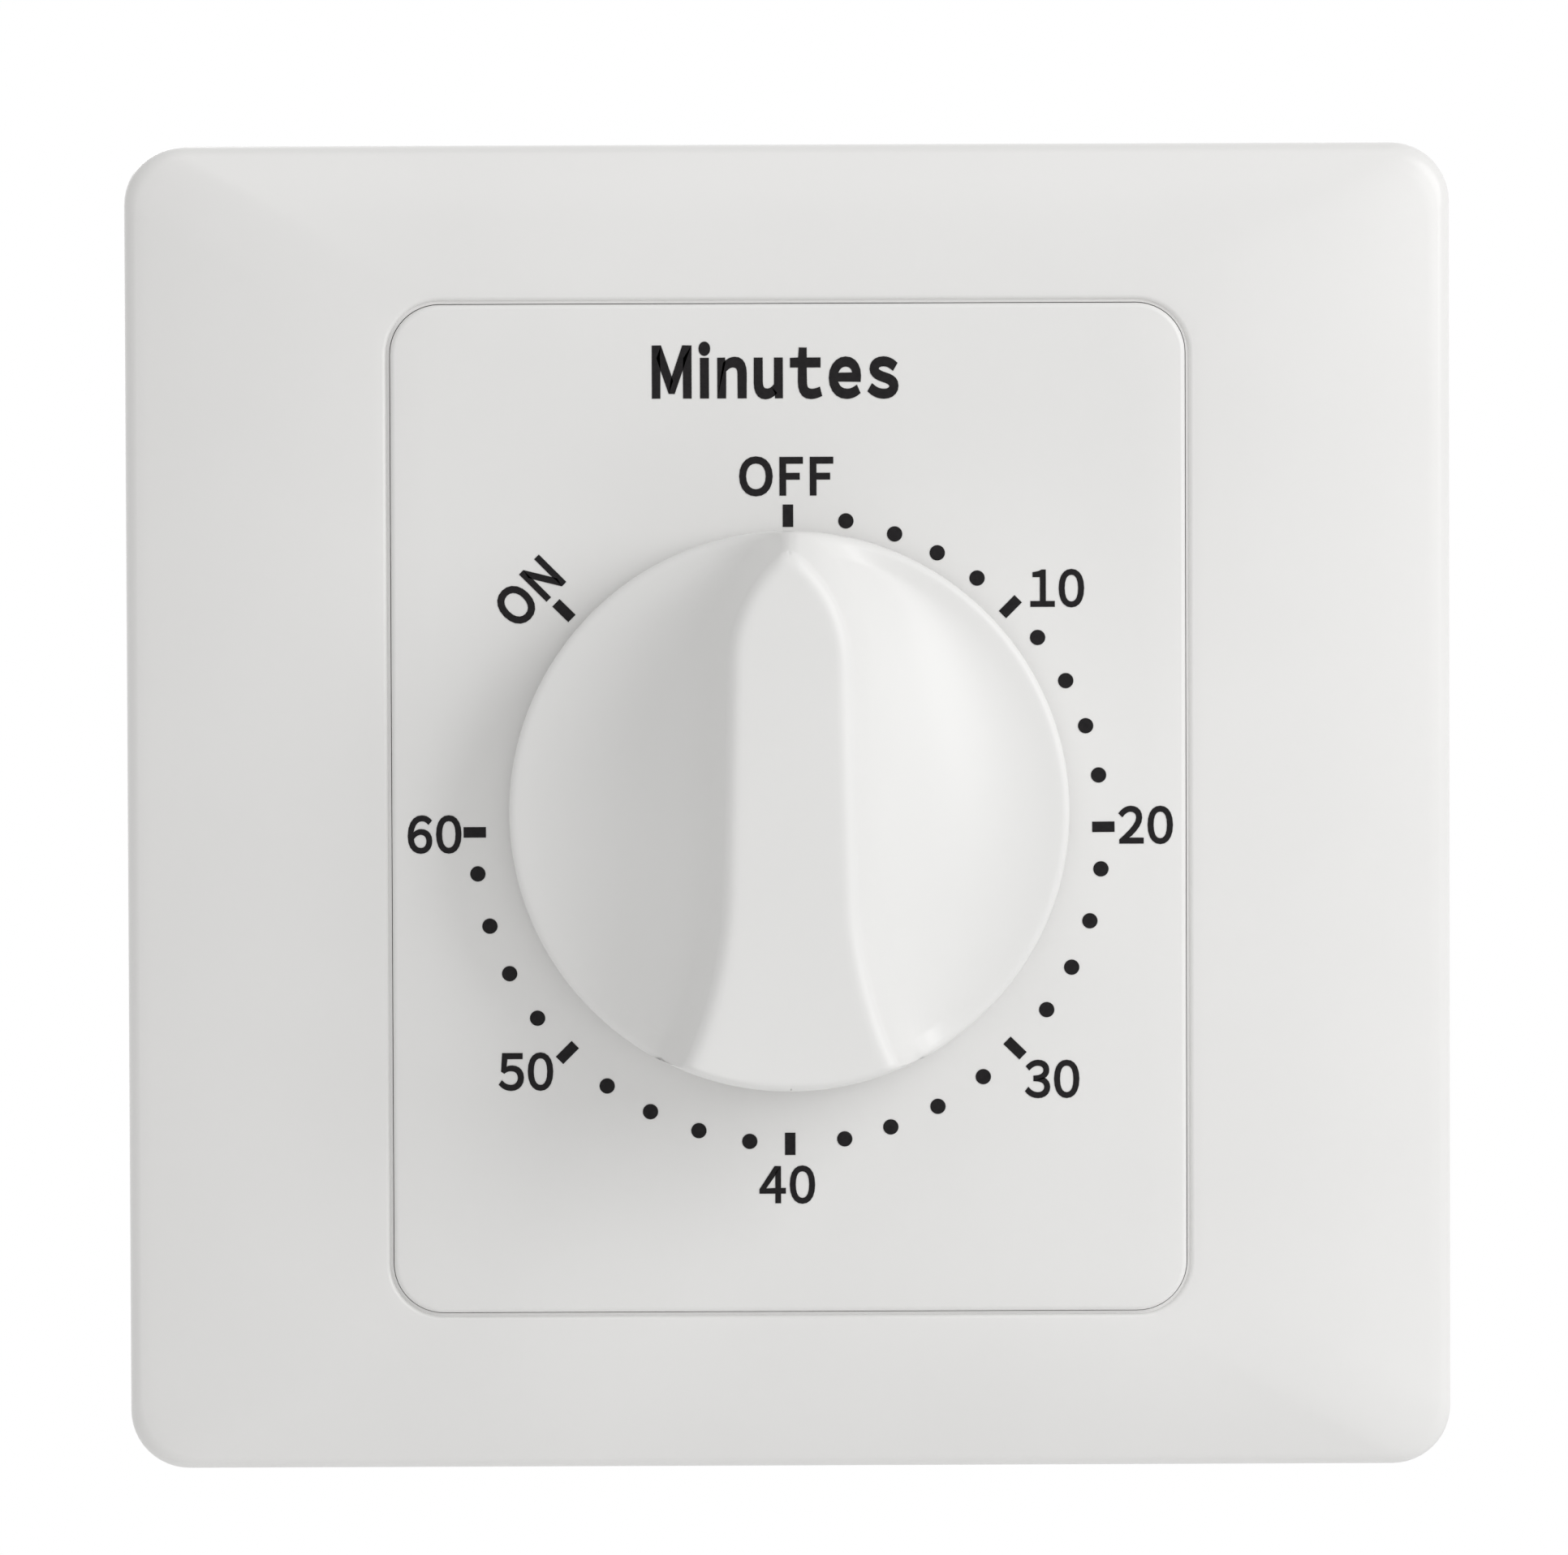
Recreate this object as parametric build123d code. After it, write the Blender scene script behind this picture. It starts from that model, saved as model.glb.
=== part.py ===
from build123d import *
import math
import os

# A wall timer switch. Millimetres, X to the right, Z up, Y into the wall.
# The origin is on the knob's axis in the plane of the wall.
# Depths are given along Y, so everything in front of the wall is negative.

# Outer frame
frame_width = 86.0
frame_height = 86.0
frame_corner = 4.0
frame_depth = 8.8
frame_edge_drop = 2.4
frame_edge_bevel = 0.6
frame_wall = 2.0
frame_lip_wall = 1.2
frame_lip_depth = 3.2
opening_edge_bevel = 0.3
opening_flat_margin = 0.5
snap_arm_width = 8.0
snap_arm_thickness = 1.4
snap_arm_offset = 22.0
snap_arm_inset = 5.4
snap_bead = 0.5
snap_bead_height = 0.9
snap_ledge = 0.8
snap_clearance = 0.3

# Centre panel
panel_width = 51.4
panel_height = 65.3
panel_corner = 3.2
panel_gap = 0.25
panel_proud = 0.2
panel_thickness = 2.2
panel_edge_bevel = 0.35
panel_skirt_wall = 1.2
panel_skirt_depth = 1.7
panel_skirt_clearance = 0.3
panel_shaft_clearance = 0.6
panel_leg_width = 5.0
panel_leg_thickness = 1.1
panel_leg_spacing = 44.0
panel_leg_inset = 2.4
panel_leg_reach = 4.9
panel_barb = 0.4
panel_barb_height = 0.5

# Mounting plate, a flat plate with a shallow box raised on its front
plate_gap = 0.3
plate_thickness = 2.6
plate_corner = 2.2
box_front_depth = 4.5
box_wall = 1.8
box_front_wall = 2.0
box_corner = 2.0
wall_screw_spacing = 60.3
wall_screw_hole = 4.6
wall_slot_length = 8.0

# Knob
knob_diameter = 36.0
knob_height = 17.0
knob_gap = 0.6
knob_rim_height = 5.5
knob_rim_round = 1.5
knob_crown_bevel = 1.2
grip_waist_half = 4.2
grip_shoulder_half = 3.83
grip_waist_below = 4.5
grip_shoulder_above = 9.9
grip_tail_radius = 28.8
grip_tail_angle = 21.5
grip_arch_radius = 9.0
grip_arch_angle = 51.0
scoop_radius = 14.8
scoop_reach = 14.4
scoop_facets = 5
knob_wall = 2.0
knob_hub_radius = 5.2
knob_rib_thickness = 1.2
knob_hollow_sides = 24
shaft_bore_depth = 13.0
clip_thickness = 0.35
clip_width = 3.4
clip_length = 9.0
clip_bow = 0.12

# Shaft
shaft_radius = 3.0
shaft_flat = 1.5
shaft_flat_length = 12.8
collar_radius = 4.2
journal_radius = 2.5
journal_flat = 1.6
running_clearance = 0.05
fixed_clearance = 0.02

# Movement frame
movement_half_width = 21.4
movement_top = 27.6
movement_bottom = -15.2
movement_corner = 3.0
movement_plate = 1.2
movement_gap = 15.0
front_plate_depth = 0.4
bush_thread_radius = 4.0
bush_spigot_radius = 4.5
bush_flats = 12.0
bush_front_gap = 0.2
nut_flats = 11.0
nut_thickness = 1.8
pillar_inset_x = 3.4
pillar_inset_top = 3.1
pillar_inset_bottom = 2.9
pillar_flats = 4.4
pillar_spigot_radius = 1.4
pillar_screw_radius = 1.2
pillar_screw_head_radius = 2.3
pillar_screw_head = 1.2
pillar_screw_length = 5.0
post_spigot_radius = 0.8

# Gear train
main_module = 0.63
second_module = 0.51
third_module = 0.455
wheel_teeth = 42
pinion_teeth = 7
pressure_angle = 28.0
addendum_share = 0.80
dedendum_share = 1.05
vee_depth_share = 1.40
flank_backlash = 0.045
second_direction = 130.5
third_direction = 25.0
escape_direction = -25.0
wheel_arms = 4
wheel_rim = 1.6
wheel_arm_width = 1.8
window_sides = 12
main_wheel_hub = 5.4
arbor_radius = 0.8
pivot_radius = 0.55
pivot_length = 1.0
arbor_end_gap = 0.25

# Depths inside the movement, measured back from the front plate
third_wheel_level = 0.6
second_wheel_level = 2.5
main_wheel_level = 4.5
thin_wheel = 1.1
main_wheel_thickness = 1.5
pinion_margin = 0.45

# Escapement
escape_teeth = 12
escape_radius = 5.5
escape_root_radius = 3.9
escape_tip_width = 0.24
escape_root_width = 1.2
escape_wheel_thickness = 0.9
pallet_angle = 37.5
pallet_pin_radius = 0.30
pallet_pin_clearance = 0.07
rocker_direction = -15.0
rocker_thickness = 0.8
rocker_arm_width = 1.6
rocker_hub_radius = 1.9
rocker_level = 4.6
balance_level = 9.5
balance_thickness = 1.2
balance_half_length = 8.0
balance_bar_width = 1.8
balance_weight_radius = 2.0
balance_weight_thickness = 3.0

# Mainspring and coupling
spring_width = 5.0
spring_thickness = 0.35
spring_pitch = 3.0
spring_turns = 2.5
spring_sides = 12
spring_level = 7.1
spring_post_radius = 1.1
clutch_radius = 5.2
clutch_thickness = 0.6
hub_sides = 12

# Stops at the two ends of the turn
turn_to_on = -45.0
turn_to_sixty = 270.0
stop_level = 12.7
stop_disc_radius = 5.4
stop_disc_thickness = 1.2
stop_lug_radius = 8.6
stop_pin_radius = 1.2
stop_pin_circle = 8.2
stop_slack_angle = 0.5

# Cam and contacts, behind the rear plate
cam_gap = 1.6
cam_thickness = 3.0
cam_radius = 7.0
cam_notch_depth = 1.3
cam_notch_angle = 34.0
shaft_tail = 0.6
strip_width = 2.6
leaf_thickness = 0.25
fixed_strip_thickness = 0.5
leaf_run_height = -9.4
follower_half = 2.2
follower_clearance = 0.15
leaf_free_end = 9.6
fixed_run_height = -12.6
fixed_free_end = 5.4
rivet_x = 7.5
rivet_head_radius = 1.3
rivet_head = 0.7
rivet_shank_radius = 0.5
strip_foot = 3.0

# Contact block and terminals
block_half_width = 19.2
block_top = -17.0
block_bottom = -29.0
block_front = 10.5
block_back = 25.8
block_wall = 1.4
block_leg_radius = 3.4
block_leg_spacing = 28.0
block_leg_height = -23.0
block_screw_radius = 1.4
block_screw_head_radius = 2.7
block_screw_head = 1.3
block_screw_length = 9.0
clamp_spacing = 26.0
clamp_width = 7.6
clamp_height = 7.4
clamp_depth = 8.6
clamp_clearance = 0.3
clamp_recess = 1.0
wire_bore_radius = 1.6
wire_bore_length = 7.4
wire_bore_rise = 0.9
terminal_screw_radius = 1.6
terminal_screw_head_radius = 2.7
terminal_screw_head = 1.4
terminal_screw_gap = 0.2
slit_clearance = 0.5

# Rear cover
cover_depth = 27.8
cover_wall = 1.8
cover_corner = 2.4
cover_back_bevel = 1.2
cover_cut_clearance = 0.5
ear_radius = 3.3
ear_thickness = 2.4
ear_spacing = 32.0
ear_overhang = 3.1
cover_screw_radius = 1.4
cover_screw_head_radius = 2.7
cover_screw_head = 1.6
cover_screw_length = 6.0
screw_boss_height = 2.2
screw_boss_radius = 2.8

# Sides of the small rounds that repeat
small_round_sides = 8

# One overrun serves every cut
over = 1.0

# Planes worked out from the sizes above
opening_width = panel_width + 2 * panel_gap
opening_height = panel_height + 2 * panel_gap
opening_corner = panel_corner + panel_gap
panel_front = -(frame_depth + panel_proud)
panel_back = panel_front + panel_thickness
knob_back = panel_front - knob_gap
box_width = panel_width - 2 * (panel_skirt_wall + panel_skirt_clearance)
box_height = panel_height - 2 * (panel_skirt_wall + panel_skirt_clearance)
window_width = box_width - 2 * box_wall
window_height = box_height - 2 * box_wall
box_inside = -box_front_depth + box_front_wall
front_plate_inner = -front_plate_depth
front_plate_outer = front_plate_inner - movement_plate
rear_plate_inner = front_plate_inner + movement_gap
rear_plate_outer = rear_plate_inner + movement_plate
cam_front = rear_plate_outer + cam_gap
cam_back = cam_front + cam_thickness
strip_front = cam_front + (cam_thickness - strip_width) / 2
strip_back = strip_front + strip_width
strip_middle = (strip_front + strip_back) / 2
rivet_place = (rivet_x, strip_middle)
panel_leg_x = window_width / 2 - panel_leg_inset
bead_front = -plate_thickness + snap_ledge + fixed_clearance
bead_back = bead_front + snap_bead_height
arbor_bore = arbor_radius + fixed_clearance
spring_inner_radius = shaft_radius + fixed_clearance + spring_thickness / 2


def polar(radius, angle):
    return (radius * math.cos(math.radians(angle)), radius * math.sin(math.radians(angle)))


def away(start, distance, angle):
    step = polar(distance, angle)
    return (start[0] + step[0], start[1] + step[1])


# Arbor places in X and Z, each one centre distance from the one before
centre_teeth_share = (wheel_teeth + pinion_teeth) / 2
main_axis = (0, 0)
second_axis = away(main_axis, main_module * centre_teeth_share, second_direction)
third_axis = away(second_axis, second_module * centre_teeth_share, third_direction)
escape_axis = away(third_axis, third_module * centre_teeth_share, escape_direction)
pallet_circle = escape_radius + pallet_pin_clearance + pallet_pin_radius
rocker_distance = pallet_circle / math.cos(math.radians(pallet_angle))
rocker_axis = away(escape_axis, rocker_distance, rocker_direction)
pallet_places = [
    away(escape_axis, pallet_circle, rocker_direction + side * pallet_angle) for side in (-1, 1)
]
pillar_places = [
    (side * (movement_half_width - pillar_inset_x), height)
    for side in (-1, 1)
    for height in (movement_top - pillar_inset_top, movement_bottom + pillar_inset_bottom)
]
terminal_sides = (-1, 1)
clamp_top = block_top - block_wall - clamp_clearance - fixed_strip_thickness
clamp_middle = clamp_top - clamp_height / 2
clamp_back = block_back - clamp_recess
wire_bore_height = clamp_middle + wire_bore_rise
ear_height = box_height / 2 + ear_overhang
ear_places = [(side * ear_spacing / 2, end * ear_height) for side in (-1, 1) for end in (-1, 1)]


def slab(outline, front, back):
    # An outline drawn in X and Z, thickened from one depth to the other
    return Plane.XZ.offset(-back) * extrude(outline, amount=back - front)


def rod(radius, front, back, place=(0, 0)):
    return slab(Pos(*place) * Circle(radius), front, back)


def pin(radius, front, back, place=(0, 0)):
    # Small rounds that repeat have few sides
    return slab(Pos(*place) * RegularPolygon(radius, small_round_sides), front, back)


def upright(radius, low, high, place):
    # A small round along Z at a place given in X and Y
    return Pos(place[0], place[1], low) * extrude(RegularPolygon(radius, small_round_sides), amount=high - low)


def cut_corners(width, height, corner):
    return chamfer(Rectangle(width, height).vertices(), corner)


def block(x_range, y_range, z_range):
    size = [high - low for low, high in (x_range, y_range, z_range)]
    middle = [(high + low) / 2 for low, high in (x_range, y_range, z_range)]
    return Pos(*middle) * Box(*size)


def link(start, end, width):
    # A flat bar with rounded ends between two places
    length = math.dist(start, end)
    angle = math.degrees(math.atan2(end[1] - start[1], end[0] - start[0]))
    middle = ((start[0] + end[0]) / 2, (start[1] + end[1]) / 2)
    bar = Pos(*middle) * Rot(0, 0, angle) * Rectangle(length, width)
    for place in (start, end):
        bar += Pos(*place) * RegularPolygon(width / 2, small_round_sides)
    return bar


def joined(shapes):
    # Separate solids that share one node
    return Compound(children=[solid for shape in shapes for solid in shape.solids()])


def crown_outline(half_outer, half_level, depth):
    # The section is level round the opening, then falls in one arc and runs on past the edge
    edge = depth - frame_edge_drop
    level = Line((-half_level, depth), (half_level, depth))
    fall_right = TangentArc((half_level, depth), (half_outer, edge), tangent=(1, 0))
    fall_left = TangentArc((-half_level, depth), (-half_outer, edge), tangent=(-1, 0))
    past_right = fall_right @ 1 + (fall_right % 1) * over
    past_left = fall_left @ 1 + (fall_left % 1) * over
    base = Polyline(
        fall_right @ 1, past_right, (past_right.X, -over), (past_left.X, -over), past_left, fall_left @ 1
    )
    return make_face([level, fall_right, base, fall_left])


def crowned_block(inset):
    # The outer frame's bulk, or with an inset the hollow behind it
    width = frame_width - 2 * inset
    height = frame_height - 2 * inset
    depth = frame_depth - inset
    across = Plane((0, 0, 0), x_dir=(1, 0, 0), z_dir=(0, 0, -1))
    along = Plane((0, 0, 0), x_dir=(0, 0, 1), z_dir=(1, 0, 0))
    level_x = opening_width / 2 + opening_flat_margin
    level_z = opening_height / 2 + opening_flat_margin
    vault_x = across * extrude(crown_outline(width / 2, level_x, depth), amount=height, both=True)
    vault_z = along * extrude(crown_outline(height / 2, level_z, depth), amount=width, both=True)
    outline = cut_corners(width, height, frame_corner - inset) if inset else frame_outline()
    return slab(outline, -depth - over, 0) & vault_x & vault_z


def frame_outline():
    return RectangleRounded(frame_width, frame_height, frame_corner)


def taper(back_outline, back, front_outline, front):
    # Straight walls that lean from one outline to the other
    facing = [Plane((0, depth, 0), x_dir=(1, 0, 0), z_dir=(0, -1, 0)) for depth in (back, front)]
    return loft([facing[0] * back_outline, facing[1] * front_outline])


def sloped_rim():
    # The side walls stop short of the crown's edge and lean in at 45 degrees from there
    bevel_start = frame_depth - frame_edge_drop - frame_edge_bevel
    lean = frame_depth - bevel_start
    top = RectangleRounded(frame_width - 2 * lean, frame_height - 2 * lean, frame_corner - lean)
    return slab(frame_outline(), -bevel_start, 0) + taper(frame_outline(), -bevel_start, top, -frame_depth)


def opening_cut():
    # The hole for the panel, with its front edge broken
    grow = opening_edge_bevel + over
    outline = RectangleRounded(opening_width, opening_height, opening_corner)
    wide = RectangleRounded(opening_width + 2 * grow, opening_height + 2 * grow, opening_corner + grow)
    flare = taper(outline, -frame_depth + opening_edge_bevel, wide, -frame_depth - over)
    return slab(outline, -frame_depth, over) + flare


snap_arm_z = frame_height / 2 - snap_arm_inset
snap_places = [(side * snap_arm_offset, end * snap_arm_z) for side in (-1, 1) for end in (-1, 1)]


def surround_frame():
    bulk = crowned_block(0) & sloped_rim()
    lip = cut_corners(
        opening_width + 2 * frame_lip_wall, opening_height + 2 * frame_lip_wall, opening_corner - frame_lip_wall
    )
    hollow = crowned_block(frame_wall) - slab(lip, -frame_depth, -frame_depth + frame_lip_depth)
    shell = bulk - hollow - opening_cut()
    for x, z in snap_places:
        inward = -math.copysign(1, z)
        arm = slab(Pos(x, z) * Rectangle(snap_arm_width, snap_arm_thickness), -frame_depth, bead_back)
        bead_z = z + inward * (snap_arm_thickness + snap_bead) / 2
        bead = slab(Pos(x, bead_z) * Rectangle(snap_arm_width, snap_bead), bead_front, bead_back)
        shell += (arm + bead) & crowned_block(frame_wall / 2)
    return shell


def centre_panel():
    outline = RectangleRounded(panel_width, panel_height, panel_corner)
    panel = slab(outline, panel_front, panel_back + panel_skirt_depth)
    panel = chamfer(panel.faces().sort_by(Axis.Y)[0].edges(), panel_edge_bevel)
    inside = cut_corners(panel_width - 2 * panel_skirt_wall, panel_height - 2 * panel_skirt_wall, box_corner)
    panel -= slab(inside, panel_back, over)
    panel -= rod(shaft_radius + panel_shaft_clearance, panel_front - over, panel_back + over)
    for side in (-1, 1):
        for end in (-1, 1):
            leg_x = side * panel_leg_x
            leg_z = end * panel_leg_spacing / 2
            leg_back = panel_back + panel_leg_reach
            foot = Rectangle(panel_leg_thickness, panel_leg_width)
            leg = slab(Pos(leg_x, leg_z) * foot, panel_back, leg_back)
            barb_x = leg_x + side * (panel_leg_thickness + panel_barb) / 2
            barb = Pos(barb_x, leg_z) * Rectangle(panel_barb, panel_leg_width)
            panel += leg + slab(barb, leg_back - panel_barb_height, leg_back)
    return panel


def mounting_plate():
    inner_width = frame_width - 2 * (frame_wall + plate_gap)
    inner_height = frame_height - 2 * (frame_wall + plate_gap)
    plate = slab(cut_corners(inner_width, inner_height, plate_corner), -plate_thickness, 0)
    plate += slab(cut_corners(box_width, box_height, box_corner), -box_front_depth, -plate_thickness)
    for place in ear_places:
        plate += pin(screw_boss_radius, -plate_thickness - screw_boss_height, -plate_thickness, place)
    plate -= slab(Rectangle(window_width, window_height), box_inside, over)
    plate -= rod(bush_thread_radius + running_clearance, -box_front_depth - over, box_inside + over)
    for place in ear_places:
        pilot_front = ear_thickness - cover_screw_length - over
        plate -= pin(cover_screw_radius + running_clearance, pilot_front, over, place)
    slot = SlotOverall(wall_slot_length, wall_screw_hole)
    for side in (-1, 1):
        plate -= slab(Pos(side * wall_screw_spacing / 2, 0) * slot, -plate_thickness - over, over)
    for x, z in snap_places:
        arm_slot_width = snap_arm_width + 2 * snap_clearance
        arm_slot = Pos(x, z) * Rectangle(arm_slot_width, snap_arm_thickness + 2 * snap_clearance)
        plate -= slab(arm_slot, -plate_thickness - over, over)
        pocket_z = z - math.copysign(snap_arm_thickness + snap_bead, z) / 2
        pocket = Pos(x, pocket_z) * Rectangle(arm_slot_width, snap_bead + 2 * snap_clearance)
        plate -= slab(pocket, bead_front - fixed_clearance, over)
    slit = Rectangle(panel_leg_thickness + 2 * snap_clearance, panel_leg_width + 2 * snap_clearance)
    for side in (-1, 1):
        for end in (-1, 1):
            place = Pos(side * panel_leg_x, end * panel_leg_spacing / 2)
            plate -= slab(place * slit, -box_front_depth - over, box_inside + over)
        leg_place = (side * block_leg_spacing / 2, block_leg_height)
        plate -= pin(
            block_screw_radius + running_clearance, -box_front_depth - over, box_inside + over, leg_place
        )
    return plate


def edge_path():
    # The right edge of the grip bar seen from the front, from below the tail to past the tip
    lean = math.degrees(math.atan2(grip_waist_half - grip_shoulder_half, grip_waist_below + grip_shoulder_above))
    waist = (grip_waist_half, -grip_waist_below)
    shoulder = (grip_shoulder_half, grip_shoulder_above)
    tail = JernArc(waist, polar(over, lean - 90), grip_tail_radius, grip_tail_angle)
    arch = JernArc(shoulder, polar(over, lean + 90), grip_arch_radius, grip_arch_angle)
    run_out = knob_diameter / 4
    below = Line(tail @ 1 + (tail % 1) * run_out, tail @ 1)
    tail_up = ThreePointArc(tail @ 1, tail @ 0.5, tail @ 0)
    beyond = Line(arch @ 1, arch @ 1 + (arch % 1) * run_out)
    return Wire([below, tail_up, Line(waist, shoulder), arch, beyond])


def scoop_outline():
    # Section square to the grip's edge: X runs out from the edge, Y is height over the knob's back
    centre_height = knob_rim_height + scoop_radius
    steepest = math.degrees(math.asin(scoop_reach / scoop_radius))
    far = scoop_reach + knob_rim_round
    points = [(far, knob_height + over), (0, knob_height + over)]
    for step in range(scoop_facets + 1):
        across, down = polar(scoop_radius, 90 - steepest * (1 - step / scoop_facets))
        points.append((scoop_reach - across, centre_height - down))
    points.append((far, knob_rim_height))
    return make_face(Polyline(*points, close=True))


def scoop():
    path = Plane.XZ * edge_path()
    ahead = path % 0
    outward = ahead.cross(Vector(0, -1, 0))
    section_plane = Plane(path @ 0, x_dir=outward, z_dir=ahead * -1)
    return sweep(section_plane * scoop_outline(), path=path)


def shaft_outline(radius, flat):
    # A round with one flat, on its upper side
    return Circle(radius) - Pos(0, flat + radius) * Rectangle(2 * radius, 2 * radius)


def knob():
    radius = knob_diameter / 2
    body = rod(radius, -knob_height, 0)
    body = chamfer(body.faces().sort_by(Axis.Y)[0].edges(), knob_crown_bevel)
    right = scoop()
    body -= right
    body -= mirror(right, Plane.YZ)
    hollow = RegularPolygon(radius - knob_wall, knob_hollow_sides) - RegularPolygon(knob_hub_radius, hub_sides)
    cavity = slab(hollow, -knob_rim_height + knob_wall, over)
    for angle in (0, 90):
        rib = Rot(0, 0, angle) * Rectangle(knob_diameter, knob_rib_thickness)
        cavity -= slab(rib, -knob_rim_height, over)
    body -= cavity
    bore_flat = shaft_flat + clip_thickness + 2 * clip_bow
    bore = shaft_outline(shaft_radius + running_clearance, bore_flat)
    body -= slab(bore, -shaft_bore_depth, over)
    return Pos(0, knob_back, 0) * body


def knob_spring_clip():
    # A bowed leaf between the shaft's flat and the wall of the bore
    back = knob_back - knob_gap
    front = back - clip_length
    low = shaft_flat + fixed_clearance
    middle = (front + back) / 2
    inner = ThreePointArc((front, low + clip_bow), (middle, low), (back, low + clip_bow))
    outer = ThreePointArc(
        (back, low + clip_bow + clip_thickness),
        (middle, low + clip_thickness),
        (front, low + clip_bow + clip_thickness),
    )
    ends = [Line(inner @ 1, outer @ 0), Line(outer @ 1, inner @ 0)]
    side_plane = Plane((0, 0, 0), x_dir=(0, 1, 0), z_dir=(1, 0, 0))
    return side_plane * extrude(make_face([inner, ends[0], outer, ends[1]]), amount=clip_width / 2, both=True)


def main_shaft():
    tip = knob_back - shaft_bore_depth + knob_gap
    flat_end = tip + shaft_flat_length
    collar_front = front_plate_inner + running_clearance
    journal_front = rear_plate_inner - running_clearance
    shaft = slab(shaft_outline(shaft_radius, shaft_flat), tip, flat_end)
    shaft += rod(shaft_radius, flat_end, journal_front)
    collar = RegularPolygon(collar_radius, hub_sides)
    shaft += slab(collar, collar_front, front_plate_inner + main_wheel_level)
    shaft += rod(journal_radius, journal_front, cam_front)
    shaft += slab(shaft_outline(journal_radius, journal_flat), cam_front, cam_back + shaft_tail)
    return shaft


def movement_plate_blank(front, back):
    middle = (movement_top + movement_bottom) / 2
    outline = cut_corners(2 * movement_half_width, movement_top - movement_bottom, movement_corner)
    plate = slab(Pos(0, middle) * outline, front, back)
    for place in (second_axis, third_axis, escape_axis, rocker_axis):
        plate -= pin(pivot_radius + running_clearance, front - over, back + over, place)
    return plate


def front_movement_plate():
    plate = movement_plate_blank(front_plate_outer, front_plate_inner)
    for place in pillar_places:
        plate -= pin(pillar_spigot_radius + fixed_clearance, front_plate_outer - over, over, place)
    return plate - rod(bush_spigot_radius + fixed_clearance, front_plate_outer - over, over)


def rear_movement_plate():
    plate = movement_plate_blank(rear_plate_inner, rear_plate_outer)
    holes = [(place, pillar_screw_radius + running_clearance) for place in pillar_places]
    holes += [(place, post_spigot_radius + fixed_clearance) for place in (spring_post_place, stop_pin_place)]
    for place, radius in holes:
        plate -= pin(radius, rear_plate_inner - over, rear_plate_outer + over, place)
    return plate - rod(journal_radius + running_clearance, rear_plate_inner - over, rear_plate_outer + over)


def movement_bush():
    # A threaded sleeve with a hexagon that rests behind the box and a spigot in the front plate
    front = panel_back + bush_front_gap
    hexagon = RegularPolygon(bush_flats / 2, 6, major_radius=False)
    bush = rod(bush_thread_radius, front, box_inside) + slab(hexagon, box_inside, front_plate_outer)
    bush += rod(bush_spigot_radius, front_plate_outer, front_plate_inner)
    return bush - rod(shaft_radius + running_clearance, front - over, front_plate_inner + over)


def bush_nut():
    hexagon = RegularPolygon(nut_flats / 2, 6, major_radius=False)
    ring = hexagon - Circle(bush_thread_radius + fixed_clearance)
    return slab(ring, -box_front_depth - nut_thickness, -box_front_depth)


def pillars():
    # Hexagon bars with a spigot in the front plate, tapped at the rear
    hexagon = RegularPolygon(pillar_flats / 2, 6, major_radius=False)
    bars = []
    for place in pillar_places:
        bar = slab(Pos(*place) * hexagon, front_plate_inner, rear_plate_inner)
        bar += pin(pillar_spigot_radius, front_plate_outer, front_plate_inner, place)
        bore = pillar_screw_radius + fixed_clearance
        bars.append(bar - pin(bore, rear_plate_inner - pillar_screw_length - over, rear_plate_outer, place))
    return joined(bars)


def headed_screw(place, seat, shank_end, head_end, shank_radius, head_radius):
    head = pin(head_radius, *sorted((seat, head_end)), place)
    return head + pin(shank_radius, *sorted((seat, shank_end)), place)


def pillar_screws():
    shank_end = rear_plate_inner - pillar_screw_length
    head_end = rear_plate_outer + pillar_screw_head
    radii = (pillar_screw_radius, pillar_screw_head_radius)
    return joined([headed_screw(place, rear_plate_outer, shank_end, head_end, *radii) for place in pillar_places])


def involute(angle):
    return math.tan(angle) - angle


def half_tooth(module, teeth, radius):
    # Half the angle that a tooth fills at a radius, thinned for backlash
    pitch = module * teeth / 2
    base = pitch * math.cos(math.radians(pressure_angle))
    at_base = math.pi / (2 * teeth) - flank_backlash / pitch + involute(math.radians(pressure_angle))
    return math.degrees(at_base - involute(math.acos(min(1, base / radius))))


def wheel_outline(module, first_tooth):
    # Many fine teeth, with straight flanks that meet in a vee
    vee = module * (wheel_teeth / 2 - vee_depth_share)
    tip = module * (wheel_teeth / 2 + addendum_share)
    tip_half = half_tooth(module, wheel_teeth, tip)
    points = []
    for tooth in range(wheel_teeth):
        middle = first_tooth + tooth * 360 / wheel_teeth
        points.append(polar(vee, middle - 180 / wheel_teeth))
        points += [polar(tip, middle - tip_half), polar(tip, middle + tip_half)]
    return make_face(Polyline(*points, close=True))


def pinion_outline(module, first_tooth):
    # Few leaves, whose flanks follow the involute through three points
    pitch = module * pinion_teeth / 2
    radii = (pitch - dedendum_share * module, pitch, pitch + addendum_share * module)
    points = []
    for tooth in range(pinion_teeth):
        middle = first_tooth + tooth * 360 / pinion_teeth
        points += [polar(radius, middle - half_tooth(module, pinion_teeth, radius)) for radius in radii]
        points += [polar(radius, middle + half_tooth(module, pinion_teeth, radius)) for radius in radii[::-1]]
    return make_face(Polyline(*points, close=True))


def wheel_windows(rim_radius, hub_radius, first_arm):
    windows = RegularPolygon(rim_radius, window_sides) - RegularPolygon(hub_radius, window_sides)
    for arm in range(wheel_arms // 2):
        angle = first_arm + arm * 360 / wheel_arms
        windows -= Rot(0, 0, angle) * Rectangle(2 * rim_radius + over, wheel_arm_width)
    return windows


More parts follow.
